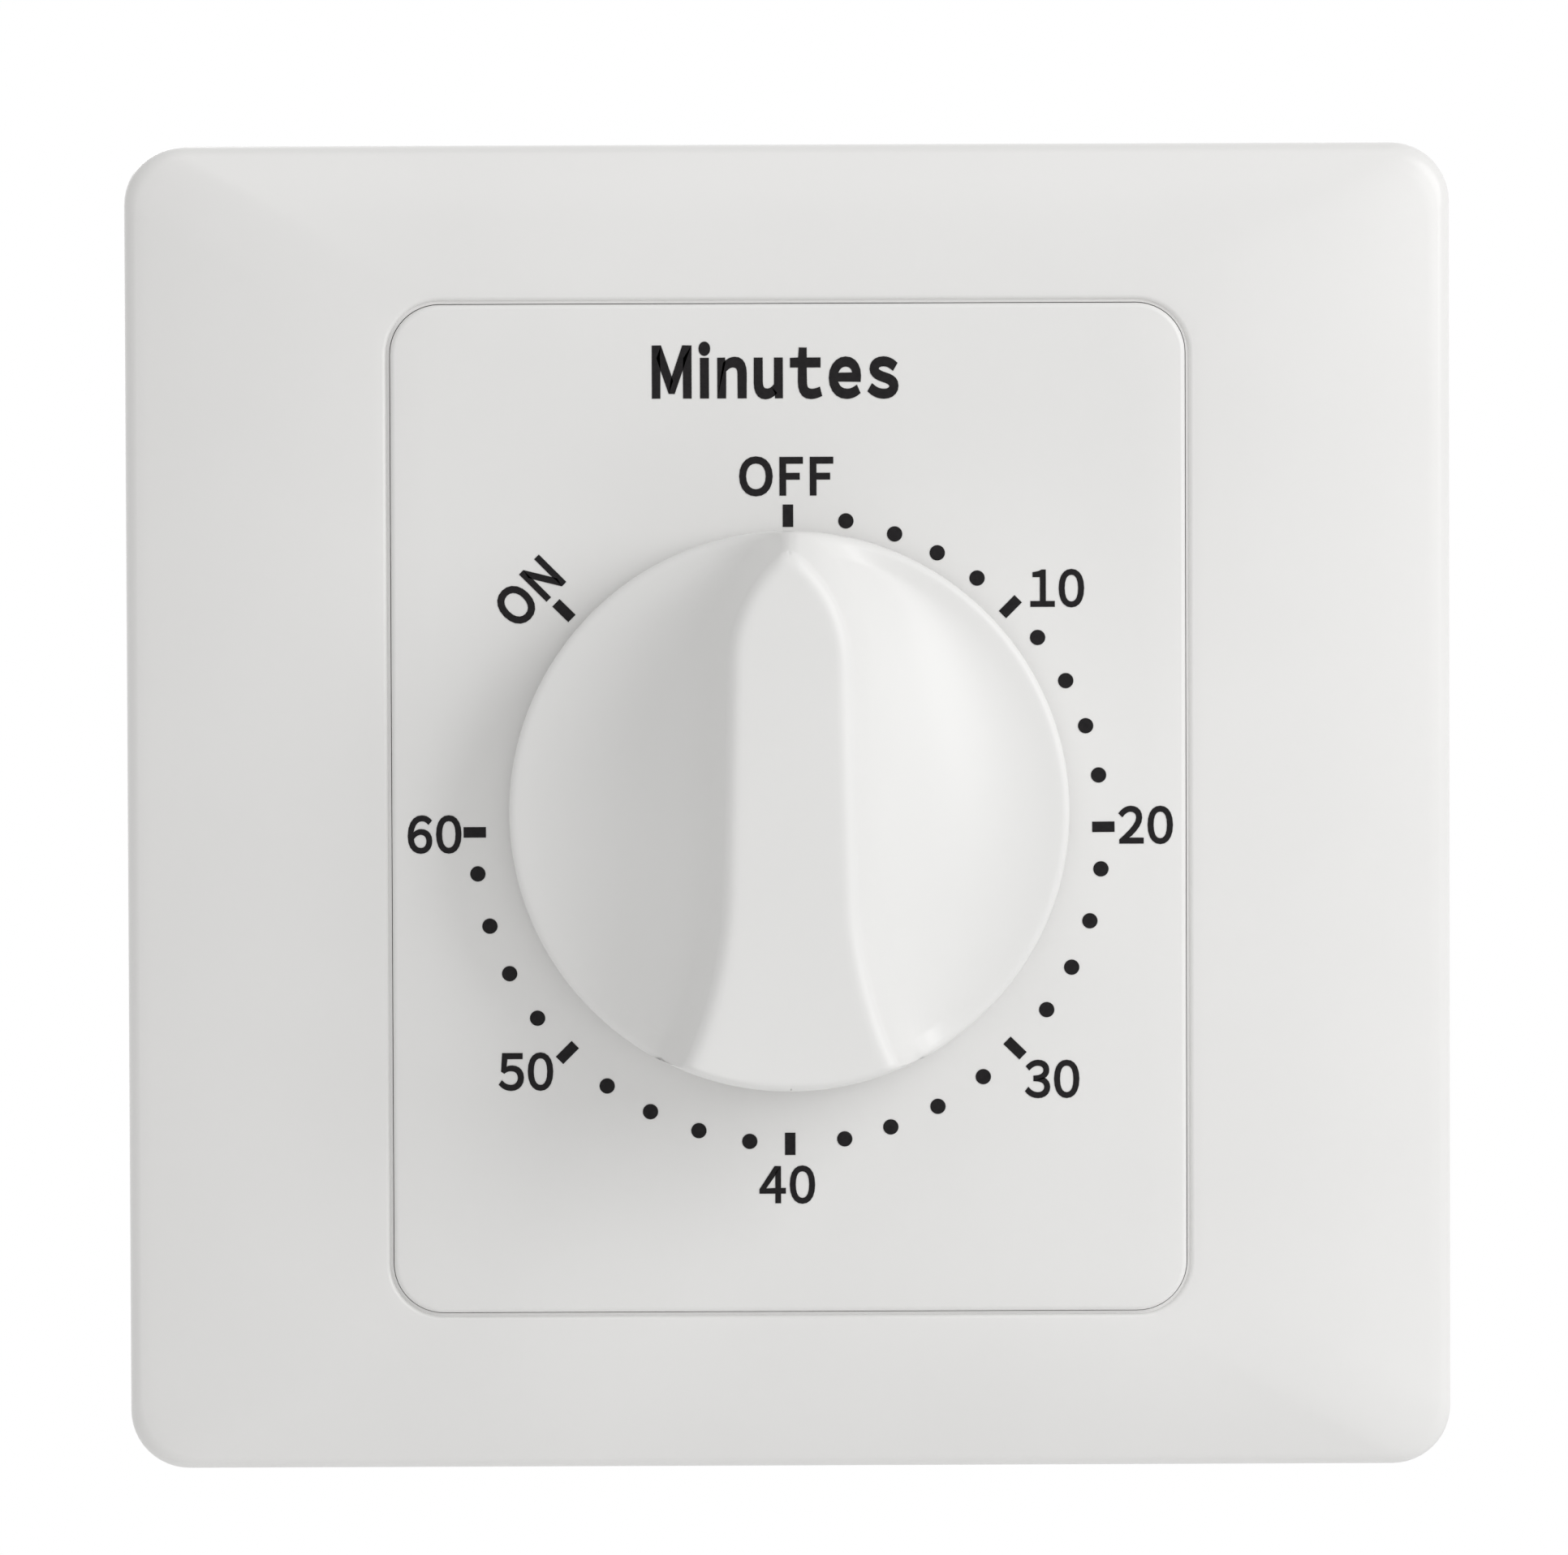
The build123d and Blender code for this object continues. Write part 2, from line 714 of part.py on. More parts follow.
def train_wheel(module, axis, level, first_tooth):
    front = front_plate_inner + level
    blank = slab(Pos(*axis) * wheel_outline(module, first_tooth), front, front + thin_wheel)
    return blank - pin(arbor_radius + fixed_clearance, front - over, front + thin_wheel + over, axis)


def train_pinion(module, axis, driver_direction, leaves_front, leaves_back):
    # Leaves, arbor and pivots are turned from one bar; the next wheel is pressed on the arbor
    gap_centre = driver_direction + 180
    outline = pinion_outline(module, gap_centre + 180 / pinion_teeth)
    leaves = slab(Pos(*axis) * outline, front_plate_inner + leaves_front, front_plate_inner + leaves_back)
    return leaves + arbor(axis)


def arbor(axis):
    front_end = front_plate_inner + arbor_end_gap
    back_end = rear_plate_inner - arbor_end_gap
    bar = pin(arbor_radius, front_end, back_end, axis)
    return bar + pin(pivot_radius, front_end - pivot_length, back_end + pivot_length, axis)


def main_wheel():
    root = main_module * (wheel_teeth / 2 - vee_depth_share)
    outline = wheel_outline(main_module, second_direction)
    outline -= wheel_windows(root - wheel_rim, main_wheel_hub, second_direction + 180 / wheel_arms)
    outline -= Circle(shaft_radius + fixed_clearance)
    front = front_plate_inner + main_wheel_level
    return slab(outline, front, front + main_wheel_thickness)


def second_wheel():
    return train_wheel(second_module, second_axis, second_wheel_level, third_direction)


def third_wheel():
    return train_wheel(third_module, third_axis, third_wheel_level, escape_direction)


def second_pinion():
    front = main_wheel_level - pinion_margin
    back = main_wheel_level + main_wheel_thickness + pinion_margin
    return train_pinion(main_module, second_axis, second_direction, front, back)


def third_pinion():
    front = third_wheel_level + thin_wheel
    back = second_wheel_level + thin_wheel + pinion_margin
    return train_pinion(second_module, third_axis, third_direction, front, back)


def escape_pinion():
    front = third_wheel_level - pinion_margin / 2
    back = second_wheel_level
    return train_pinion(third_module, escape_axis, escape_direction, front, back)


def escape_wheel():
    tip_half = math.degrees(escape_tip_width / 2 / escape_radius)
    root_half = math.degrees(escape_root_width / 2 / escape_root_radius)
    points = []
    for tooth in range(escape_teeth):
        middle = rocker_direction + tooth * 360 / escape_teeth
        points += [
            polar(escape_root_radius, middle - root_half),
            polar(escape_radius, middle - tip_half),
            polar(escape_radius, middle + tip_half),
            polar(escape_root_radius, middle + root_half),
        ]
    outline = make_face(Polyline(*points, close=True)) - RegularPolygon(arbor_bore, small_round_sides)
    front = front_plate_inner + second_wheel_level
    return slab(Pos(*escape_axis) * outline, front, front + escape_wheel_thickness)


def rocker_arbor():
    return arbor(rocker_axis)


def rocker_lever():
    outline = Pos(*rocker_axis) * RegularPolygon(rocker_hub_radius, small_round_sides)
    for place in pallet_places:
        outline += link(rocker_axis, place, rocker_arm_width)
    for place in pallet_places:
        outline -= Pos(*place) * RegularPolygon(pallet_pin_radius + fixed_clearance, small_round_sides)
    outline -= Pos(*rocker_axis) * RegularPolygon(arbor_bore, small_round_sides)
    front = front_plate_inner + rocker_level
    return slab(outline, front, front + rocker_thickness)


def pallet_pins():
    front = front_plate_inner + second_wheel_level - pinion_margin / 2
    back = front_plate_inner + rocker_level + rocker_thickness
    return joined([pin(pallet_pin_radius, front, back, place) for place in pallet_places])


def balance_bar():
    ends = [(rocker_axis[0], rocker_axis[1] + end * balance_half_length) for end in (-1, 1)]
    front = front_plate_inner + balance_level
    bar = slab(link(ends[0], ends[1], balance_bar_width), front, front + balance_thickness)
    bar += pin(rocker_hub_radius, front, front + balance_thickness, rocker_axis)
    for place in ends:
        bar += pin(balance_weight_radius, front, front + balance_weight_thickness, place)
    return bar - pin(arbor_bore, front - over, front + balance_thickness + over, rocker_axis)


# The spring's outer end meets its post
spring_outer_radius = spring_inner_radius + spring_turns * spring_pitch
spring_post_circle = spring_outer_radius + spring_thickness / 2 + spring_post_radius
spring_post_place = polar(spring_post_circle, 360 * spring_turns)


def spiral(offset):
    # From the shaft outwards in short straight steps
    steps = round(spring_turns * spring_sides)
    points = []
    for step in range(steps + 1):
        turns = step / spring_sides
        radius = spring_inner_radius + turns * spring_pitch + offset
        points.append(polar(radius, 360 * turns))
    return points


def mainspring():
    half = spring_thickness / 2
    outline = spiral(-half) + spiral(half)[::-1]
    front = front_plate_inner + spring_level
    return slab(make_face(Polyline(*outline, close=True)), front, front + spring_width)


def spring_post():
    front = front_plate_inner + spring_level
    post = pin(spring_post_radius, front, rear_plate_inner, spring_post_place)
    return post + pin(post_spigot_radius, rear_plate_inner, rear_plate_outer, spring_post_place)


def clutch_washer():
    front = front_plate_inner + main_wheel_level + main_wheel_thickness
    ring = RegularPolygon(clutch_radius, hub_sides) - Circle(shaft_radius + fixed_clearance)
    return slab(ring, front, front + clutch_thickness)


# The lug meets the pin at both ends of the turn, so the pin stands outside the swept angle
stop_pin_half_angle = math.degrees(math.asin(stop_pin_radius / stop_pin_circle))
stop_free_angle = 360 - (turn_to_sixty - turn_to_on)
stop_lug_half_angle = stop_free_angle / 2 - stop_pin_half_angle - stop_slack_angle
stop_lug_angle = 90.0
# Turning clockwise, seen from the front, lowers an angle in X and Z
stop_pin_angle = stop_lug_angle - turn_to_on + stop_free_angle / 2
stop_pin_place = polar(stop_pin_circle, stop_pin_angle)


def stop_disc():
    lug_half = stop_lug_radius * math.tan(math.radians(stop_lug_half_angle))
    lug = make_face(Polyline((0, 0), (stop_lug_radius, -lug_half), (stop_lug_radius, lug_half), close=True))
    lug = (Rot(0, 0, stop_lug_angle) * lug) & Circle(stop_lug_radius)
    outline = RegularPolygon(stop_disc_radius, hub_sides) + lug - Circle(shaft_radius + fixed_clearance)
    front = front_plate_inner + stop_level
    return slab(outline, front, front + stop_disc_thickness)


def stop_pin():
    post = pin(stop_pin_radius, front_plate_inner + stop_level, rear_plate_inner, stop_pin_place)
    return post + pin(post_spigot_radius, rear_plate_inner, rear_plate_outer, stop_pin_place)


def switch_cam():
    notch_half = cam_notch_angle / 2
    depth_radius = cam_radius - cam_notch_depth
    corner = polar(cam_radius + over, -90 - notch_half)
    notch = make_face(Polyline(corner, (0, -depth_radius), (-corner[0], corner[1]), close=True))
    bore = shaft_outline(journal_radius + fixed_clearance, journal_flat + fixed_clearance)
    return slab(Circle(cam_radius) - notch - bore, cam_front, cam_back)


def strip(points, thickness):
    return slab(trace(Polyline(*points), line_width=thickness), strip_front, strip_back)


def contact_leaf():
    # From its foot on the left clamp, up out of the block, along under the cam
    x = -clamp_spacing / 2
    foot = clamp_top + leaf_thickness / 2
    run = leaf_run_height
    peak = -(cam_radius - cam_notch_depth) - follower_clearance - leaf_thickness
    leaf = strip(
        [
            (x + strip_foot, foot),
            (x, foot),
            (x, run),
            (-follower_half, run),
            (0, peak),
            (follower_half, run),
            (leaf_free_end, run),
        ],
        leaf_thickness,
    )
    return leaf - upright(rivet_shank_radius + fixed_clearance, run - over, run + over, rivet_place)


def fixed_contact():
    x = clamp_spacing / 2
    foot = clamp_top + fixed_strip_thickness / 2
    run = fixed_run_height
    points = [(x - strip_foot, foot), (x, foot), (x, run), (fixed_free_end, run)]
    contact = strip(points, fixed_strip_thickness)
    return contact - upright(rivet_shank_radius + fixed_clearance, run - over, run + over, rivet_place)


def contact_rivet(height, thickness, facing):
    # Facing is the side of the strip, up or down, that carries the contact face
    head_face = height + facing * thickness / 2
    tail_face = height - facing * thickness / 2
    head = upright(rivet_head_radius, *sorted((head_face, head_face + facing * rivet_head)), rivet_place)
    return head + upright(rivet_shank_radius, *sorted((head_face, tail_face)), rivet_place)


def contact_rivets():
    return joined(
        [
            contact_rivet(leaf_run_height, leaf_thickness, -1),
            contact_rivet(fixed_run_height, fixed_strip_thickness, 1),
        ]
    )


def contact_block():
    body = block((-block_half_width, block_half_width), (block_front, block_back), (block_bottom, block_top))
    body = chamfer(body.edges().filter_by(Axis.Y), block_wall / 2)
    clamp_front = clamp_back - clamp_depth
    for side in terminal_sides:
        x = side * clamp_spacing / 2
        half = clamp_width / 2 + clamp_clearance
        pocket_top = clamp_top + fixed_strip_thickness + clamp_clearance
        body -= block(
            (x - half, x + half),
            (clamp_front - fixed_clearance, block_back + over),
            (block_bottom - over, pocket_top),
        )
        slit_half = fixed_strip_thickness / 2 + slit_clearance
        body -= block(
            (x - slit_half, x + slit_half),
            (strip_front - slit_clearance, strip_back + slit_clearance),
            (pocket_top - over, block_top + over),
        )
        leg_place = (side * block_leg_spacing / 2, block_leg_height)
        body += pin(block_leg_radius, box_inside, block_front, leg_place)
        pilot_back = -box_front_depth + block_screw_length + over
        body -= pin(block_screw_radius + running_clearance, box_inside - over, pilot_back, leg_place)
    core_half = (clamp_spacing - clamp_width) / 2 - clamp_clearance - block_wall
    return body - block(
        (-core_half, core_half),
        (block_front - over, block_back - block_wall),
        (block_bottom + block_wall, block_top - block_wall),
    )


def block_screws():
    shank_end = -box_front_depth + block_screw_length
    head_end = -box_front_depth - block_screw_head
    radii = (block_screw_radius, block_screw_head_radius)
    places = [(side * block_leg_spacing / 2, block_leg_height) for side in terminal_sides]
    return joined([headed_screw(place, -box_front_depth, shank_end, head_end, *radii) for place in places])


def terminal_clamps():
    clamps = []
    screw_bore = terminal_screw_radius + fixed_clearance
    clamp_bottom = clamp_top - clamp_height
    for side in terminal_sides:
        x = side * clamp_spacing / 2
        clamp = block(
            (x - clamp_width / 2, x + clamp_width / 2), (clamp_back - clamp_depth, clamp_back), (clamp_bottom, clamp_top)
        )
        clamp -= rod(wire_bore_radius, clamp_back - wire_bore_length, clamp_back + over, (x, wire_bore_height))
        clamp -= upright(screw_bore, clamp_bottom - over, wire_bore_height, (x, clamp_back - clamp_depth / 2))
        clamps.append(clamp)
    return joined(clamps)


def terminal_screws():
    screws = []
    seat = clamp_top - clamp_height
    reach = wire_bore_height - wire_bore_radius - terminal_screw_gap
    for side in terminal_sides:
        place = (side * clamp_spacing / 2, clamp_back - clamp_depth / 2)
        head = upright(terminal_screw_head_radius, seat - terminal_screw_head, seat, place)
        screws.append(head + upright(terminal_screw_radius, seat, reach, place))
    return joined(screws)


def rear_cover():
    cover = slab(cut_corners(box_width, box_height, cover_corner), 0, cover_depth)
    cover = chamfer(cover.faces().sort_by(Axis.Y)[-1].edges(), cover_back_bevel)
    inner = cut_corners(window_width, window_height, cover_corner - cover_wall / 2)
    for x, z in ear_places:
        root_z = z - math.copysign(ear_overhang, z) / 2
        cover += pin(ear_radius, 0, ear_thickness, (x, z))
        cover += slab(Pos(x, root_z) * Rectangle(2 * ear_radius, ear_overhang), 0, ear_thickness)
        cover -= pin(cover_screw_radius + running_clearance, -over, ear_thickness + over, (x, z))
    cover -= slab(inner, -over, cover_depth - cover_wall)
    cut_half = block_half_width + cover_cut_clearance
    return cover - block(
        (-cut_half, cut_half),
        (block_front - cover_cut_clearance, cover_depth + over),
        (-box_height / 2 - over, block_top + cover_cut_clearance),
    )


def cover_screws():
    shank_end = ear_thickness - cover_screw_length
    head_end = ear_thickness + cover_screw_head
    radii = (cover_screw_radius, cover_screw_head_radius)
    return joined([headed_screw(place, ear_thickness, shank_end, head_end, *radii) for place in ear_places])


pieces = [
    surround_frame,
    centre_panel,
    mounting_plate,
    knob,
    knob_spring_clip,
    main_shaft,
    movement_bush,
    bush_nut,
    front_movement_plate,
    rear_movement_plate,
    pillars,
    pillar_screws,
    mainspring,
    spring_post,
    clutch_washer,
    stop_disc,
    stop_pin,
    main_wheel,
    second_pinion,
    second_wheel,
    third_pinion,
    third_wheel,
    escape_pinion,
    escape_wheel,
    rocker_arbor,
    rocker_lever,
    pallet_pins,
    balance_bar,
    switch_cam,
    contact_leaf,
    fixed_contact,
    contact_rivets,
    contact_block,
    block_screws,
    terminal_clamps,
    terminal_screws,
    rear_cover,
    cover_screws,
]

os.makedirs("parts", exist_ok=True)
for piece in pieces:
    export_step(piece(), f"parts/{piece.__name__}.step")
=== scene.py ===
import math

import bmesh as bmeshTools
import bpy
import numpy as np
from mathutils import Matrix, Vector


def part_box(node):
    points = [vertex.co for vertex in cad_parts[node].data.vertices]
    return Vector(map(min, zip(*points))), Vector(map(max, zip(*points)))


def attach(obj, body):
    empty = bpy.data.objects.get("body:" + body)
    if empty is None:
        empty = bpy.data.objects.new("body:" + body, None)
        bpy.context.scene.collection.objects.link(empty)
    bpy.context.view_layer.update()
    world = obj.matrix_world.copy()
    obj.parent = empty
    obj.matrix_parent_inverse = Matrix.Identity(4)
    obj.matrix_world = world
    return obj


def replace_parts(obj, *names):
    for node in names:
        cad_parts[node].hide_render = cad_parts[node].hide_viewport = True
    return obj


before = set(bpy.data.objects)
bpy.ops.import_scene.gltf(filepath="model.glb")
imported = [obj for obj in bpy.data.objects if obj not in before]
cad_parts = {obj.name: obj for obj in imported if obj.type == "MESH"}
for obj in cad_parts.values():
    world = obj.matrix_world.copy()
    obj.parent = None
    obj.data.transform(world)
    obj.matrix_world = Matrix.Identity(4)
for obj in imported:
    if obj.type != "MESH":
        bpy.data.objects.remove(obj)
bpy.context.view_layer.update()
mm = 0.001
weld = {"points": 0.002, "slivers": 0.0005}
quarters = ((-1, -1), (-1, 1), (1, -1), (1, 1))

print("frame loaded")


def addObject(name, data):
    thing = bpy.data.objects.new(name, data)
    bpy.context.scene.collection.objects.link(thing)
    return thing


def meshFrom(name, points, faces, joined=False):
    # Points come in millimetres, in the frame of the model
    mesh = bpy.data.meshes.new(name)
    mesh.from_pydata([tuple(mm * c for c in p) for p in points], [], faces)
    cleaner = bmeshTools.new()
    cleaner.from_mesh(mesh)
    if joined:
        bmeshTools.ops.remove_doubles(cleaner, verts=cleaner.verts, dist=weld["points"] * mm)
        bmeshTools.ops.dissolve_degenerate(cleaner, edges=cleaner.edges, dist=weld["slivers"] * mm)
    bmeshTools.ops.recalc_face_normals(cleaner, faces=cleaner.faces)
    cleaner.to_mesh(mesh)
    cleaner.free()
    return mesh


def newPiece(name, points, faces, finish, body, sharpAngle=32):
    mesh = meshFrom(name, points, faces, joined=True)
    mesh.shade_smooth()
    mesh.set_sharp_from_angle(angle=math.radians(sharpAngle))
    mesh.materials.append(finish)
    piece = addObject(name, mesh)
    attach(piece, body)
    return piece


def roundedLoop(halfWide, halfHigh, radius, depth, cornerSteps=12, sideSteps=6):
    # A rounded rectangle at one depth, always with the same count of points
    loop = []
    corners = ((1, 1), (-1, 1), (-1, -1), (1, -1))
    for turn, (sideX, sideZ) in enumerate(corners):
        middleX = sideX * (halfWide - radius)
        middleZ = sideZ * (halfHigh - radius)
        for step in range(cornerSteps + 1):
            angle = math.radians(90 * turn + 90 * step / cornerSteps)
            loop.append((middleX + radius * math.cos(angle), depth, middleZ + radius * math.sin(angle)))
        nextX, nextZ = corners[(turn + 1) % 4]
        endAngle = math.radians(90 * (turn + 1))
        endX = nextX * (halfWide - radius) + radius * math.cos(endAngle)
        endZ = nextZ * (halfHigh - radius) + radius * math.sin(endAngle)
        startX, _, startZ = loop[-1]
        for step in range(1, sideSteps):
            share = step / sideSteps
            loop.append((startX + (endX - startX) * share, depth, startZ + (endZ - startZ) * share))
    return loop


def circleLike(loop, radius, depth):
    # A circle whose points stand at the same angles as the loop's
    around = []
    for x, _, z in loop:
        reach = math.hypot(x, z)
        around.append((radius * x / reach, depth, radius * z / reach))
    return around


def arcAround(x, z, radius, first, last, steps):
    turns = [math.radians(first + (last - first) * k / steps) for k in range(steps + 1)]
    return [(x + radius * math.cos(t), z + radius * math.sin(t)) for t in turns]


def circleAround(x, z, radius, sides=24):
    turns = [math.radians(360 / sides * k) for k in range(sides)]
    return [(x + radius * math.cos(t), z + radius * math.sin(t)) for t in turns]


def skin(loops, closed=False):
    # Faces between each loop and the next
    count = len(loops[0])
    faces = []
    for row in range(len(loops) if closed else len(loops) - 1):
        here = row * count
        there = (row + 1) % len(loops) * count
        for k in range(count):
            after = (k + 1) % count
            faces.append((here + k, here + after, there + after, there + k))
    return [p for loop in loops for p in loop], faces


def cappedSkin(loops):
    # The same, with the first and the last loop closed
    points, faces = skin(loops)
    count = len(loops[0])
    return points, faces + [tuple(range(count)), tuple(range(len(points) - count, len(points)))]


def prism(outline, low, high):
    # An outline in X and Z, carried along Y
    points = [(x, depth, z) for depth in (low, high) for x, z in outline]
    count = len(outline)
    faces = [tuple(range(count)), tuple(range(count, 2 * count))]
    faces += [(k, (k + 1) % count, count + (k + 1) % count, count + k) for k in range(count)]
    return points, faces


def addTo(points, faces, newPoints, newFaces):
    # Joins a form to the lists of a bigger piece
    first = len(points)
    points += newPoints
    faces += [tuple(first + k for k in face) for face in newFaces]


def addBox(points, faces, low, high, ease=0.15, endShare=0.6):
    # A small block with its edges eased
    (x0, y0, z0), (x1, y1, z1) = low, high
    outline = (
        (x0 + ease, z0), (x1 - ease, z0), (x1, z0 + ease), (x1, z1 - ease),
        (x1 - ease, z1), (x0 + ease, z1), (x0, z1 - ease), (x0, z0 + ease),
    )
    endEase = ease * endShare
    loops = []
    for y, inset in ((y0, endEase), (y0 + endEase, 0), (y1 - endEase, 0), (y1, endEase)):
        loop = []
        for x, z in outline:
            towardX = (x0 + x1) / 2 - x
            towardZ = (z0 + z1) / 2 - z
            reach = max(abs(towardX), abs(towardZ))
            loop.append((x + inset * towardX / reach, y, z + inset * towardZ / reach))
        loops.append(loop)
    addTo(points, faces, *cappedSkin(loops))


# Finishes

relief = {"depth": 0.00004, "detail": 3.0}
tint = {"darkUntil": 0.3, "lightFrom": 0.7}
plastic = {
    "grainScale": 2600, "grain": 0.1, "cloudScale": 55, "cloudDetail": 2, "glossier": 0.04, "duller": 0.05,
    "dark": 0.985, "light": 1.01, "coatRoughness": 0.18,
}
metal = {
    "lineScale": 900, "lineDetail": 4.0, "lines": 0.35, "glossier": 0.08, "duller": 0.14,
    "patchScale": 90, "dark": 0.82,
}
clear = {
    "colour": (0.93, 0.95, 0.955), "roughness": 0.06, "through": 0.92, "bending": 1.1,
    "coat": 0.35, "coatRoughness": 0.1, "grainScale": 500, "grain": 0.06,
}
dye = {
    "colour": (0.012, 0.011, 0.012), "roughness": 0.55, "shine": 0.15, "grainScale": 3000, "grain": 0.1,
    "dark": (0.009, 0.008, 0.009), "light": (0.015, 0.0135, 0.0145),
}


def newFinish(name, colour, roughness, metallic=0.0):
    finish = bpy.data.materials.new(name)
    finish.use_nodes = True
    shader = finish.node_tree.nodes["Principled BSDF"]
    shader.inputs["Base Color"].default_value = (*colour, 1)
    shader.inputs["Roughness"].default_value = roughness
    shader.inputs["Metallic"].default_value = metallic
    return finish, finish.node_tree.nodes, finish.node_tree.links, shader


def addGrain(nodes, links, shader, scale, strength, stretch=(1, 1, 1), detail=relief["detail"]):
    # Fine relief from noise in the object's own coordinates
    place = nodes.new("ShaderNodeTexCoord")
    mapping = nodes.new("ShaderNodeMapping")
    mapping.inputs["Scale"].default_value = stretch
    noise = nodes.new("ShaderNodeTexNoise")
    noise.inputs["Scale"].default_value = scale
    noise.inputs["Detail"].default_value = detail
    bump = nodes.new("ShaderNodeBump")
    bump.inputs["Strength"].default_value = strength
    bump.inputs["Distance"].default_value = relief["depth"]
    links.new(place.outputs["Object"], mapping.inputs["Vector"])
    links.new(mapping.outputs["Vector"], noise.inputs["Vector"])
    links.new(noise.outputs["Fac"], bump.inputs["Height"])
    links.new(bump.outputs["Normal"], shader.inputs["Normal"])
    return mapping, noise


def addGlossRange(nodes, links, source, shader, low, high):
    span = nodes.new("ShaderNodeMapRange")
    span.inputs["To Min"].default_value = low
    span.inputs["To Max"].default_value = high
    links.new(source, span.inputs["Value"])
    links.new(span.outputs["Result"], shader.inputs["Roughness"])


def addTint(nodes, links, source, shader, dark, light):
    ramp = nodes.new("ShaderNodeValToRGB")
    ramp.color_ramp.elements[0].position = tint["darkUntil"]
    ramp.color_ramp.elements[1].position = tint["lightFrom"]
    ramp.color_ramp.elements[0].color = (*dark, 1)
    ramp.color_ramp.elements[1].color = (*light, 1)
    links.new(source, ramp.inputs["Fac"])
    links.new(ramp.outputs["Color"], shader.inputs["Base Color"])


def mouldedPlastic(name, colour, roughness, coat, grainScale=plastic["grainScale"], grain=plastic["grain"]):
    # A moulding: faint orange-peel relief, a cloudy gloss and a barely uneven colour
    s = plastic
    finish, nodes, links, shader = newFinish(name, colour, roughness)
    mapping, _ = addGrain(nodes, links, shader, grainScale, grain)
    cloud = nodes.new("ShaderNodeTexNoise")
    cloud.inputs["Scale"].default_value = s["cloudScale"]
    cloud.inputs["Detail"].default_value = s["cloudDetail"]
    links.new(mapping.outputs["Vector"], cloud.inputs["Vector"])
    source = cloud.outputs["Fac"]
    addGlossRange(nodes, links, source, shader, roughness - s["glossier"], roughness + s["duller"])
    dark = tuple(c * s["dark"] for c in colour)
    light = tuple(min(1.0, c * s["light"]) for c in colour)
    addTint(nodes, links, source, shader, dark, light)
    shader.inputs["Coat Weight"].default_value = coat
    shader.inputs["Coat Roughness"].default_value = s["coatRoughness"]
    return finish


def rolledMetal(name, colour, roughness, stretch, grain=metal["lines"]):
    # Sheet or bar stock with lines from rolling or turning
    s = metal
    finish, nodes, links, shader = newFinish(name, colour, roughness, 1.0)
    mapping, lines = addGrain(nodes, links, shader, s["lineScale"], grain, stretch, s["lineDetail"])
    source = lines.outputs["Fac"]
    addGlossRange(nodes, links, source, shader, roughness - s["glossier"], roughness + s["duller"])
    patch = nodes.new("ShaderNodeTexNoise")
    patch.inputs["Scale"].default_value = s["patchScale"]
    links.new(mapping.outputs["Vector"], patch.inputs["Vector"])
    addTint(nodes, links, patch.outputs["Fac"], shader, tuple(c * s["dark"] for c in colour), colour)
    return finish


finishes = {
    # Name, colour, roughness and coat, then the grain's scale and strength where they differ
    "white_gloss": mouldedPlastic("frameWhite", (0.872, 0.868, 0.86), 0.30, 0.25),
    "panel_white": mouldedPlastic("panelWhite", (0.872, 0.869, 0.861), 0.36, 0.1),
    "knob_white": mouldedPlastic("knobWhite", (0.862, 0.86, 0.852), 0.42, 0.05, 2200),
    "base_white": mouldedPlastic("baseWhite", (0.74, 0.74, 0.72), 0.45, 0.0, 1800, 0.2),
    "block_dark": mouldedPlastic("blockDark", (0.035, 0.034, 0.033), 0.5, 0.0, 1500, 0.3),
    "cam_white": mouldedPlastic("camWhite", (0.78, 0.77, 0.73), 0.42, 0.0, 1600, 0.15),
    # Name, colour, roughness and the stretch of the lines, then their strength where it differs
    "steel": rolledMetal("turnedSteel", (0.62, 0.62, 0.63), 0.28, (1, 14, 1)),
    "plate_steel": rolledMetal("rolledSteel", (0.70, 0.71, 0.72), 0.33, (12, 1, 1)),
    "brass": rolledMetal("stampedBrass", (0.80, 0.60, 0.27), 0.30, (1, 1, 10), 0.25),
}


def clearPlastic(name, s):
    finish, nodes, links, shader = newFinish(name, s["colour"], s["roughness"])
    shader.inputs["Transmission Weight"].default_value = s["through"]
    shader.inputs["IOR"].default_value = s["bending"]
    shader.inputs["Coat Weight"].default_value = s["coat"]
    shader.inputs["Coat Roughness"].default_value = s["coatRoughness"]
    addGrain(nodes, links, shader, s["grainScale"], s["grain"])
    return finish


def printedInk(name, s):
    finish, nodes, links, shader = newFinish(name, s["colour"], s["roughness"])
    shader.inputs["Specular IOR Level"].default_value = s["shine"]
    _, noise = addGrain(nodes, links, shader, s["grainScale"], s["grain"])
    addTint(nodes, links, noise.outputs["Fac"], shader, s["dark"], s["light"])
    return finish


finishes["cover_clear"] = clearPlastic("coverClear", clear)
ink = printedInk("dialInk", dye)

for name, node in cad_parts.items():
    for place in range(len(node.data.materials)):
        for slotName, finish in finishes.items():
            if node.data.materials[place].name.startswith(slotName):
                node.data.materials[place] = finish
                break
print("finishes made")

# Outer frame

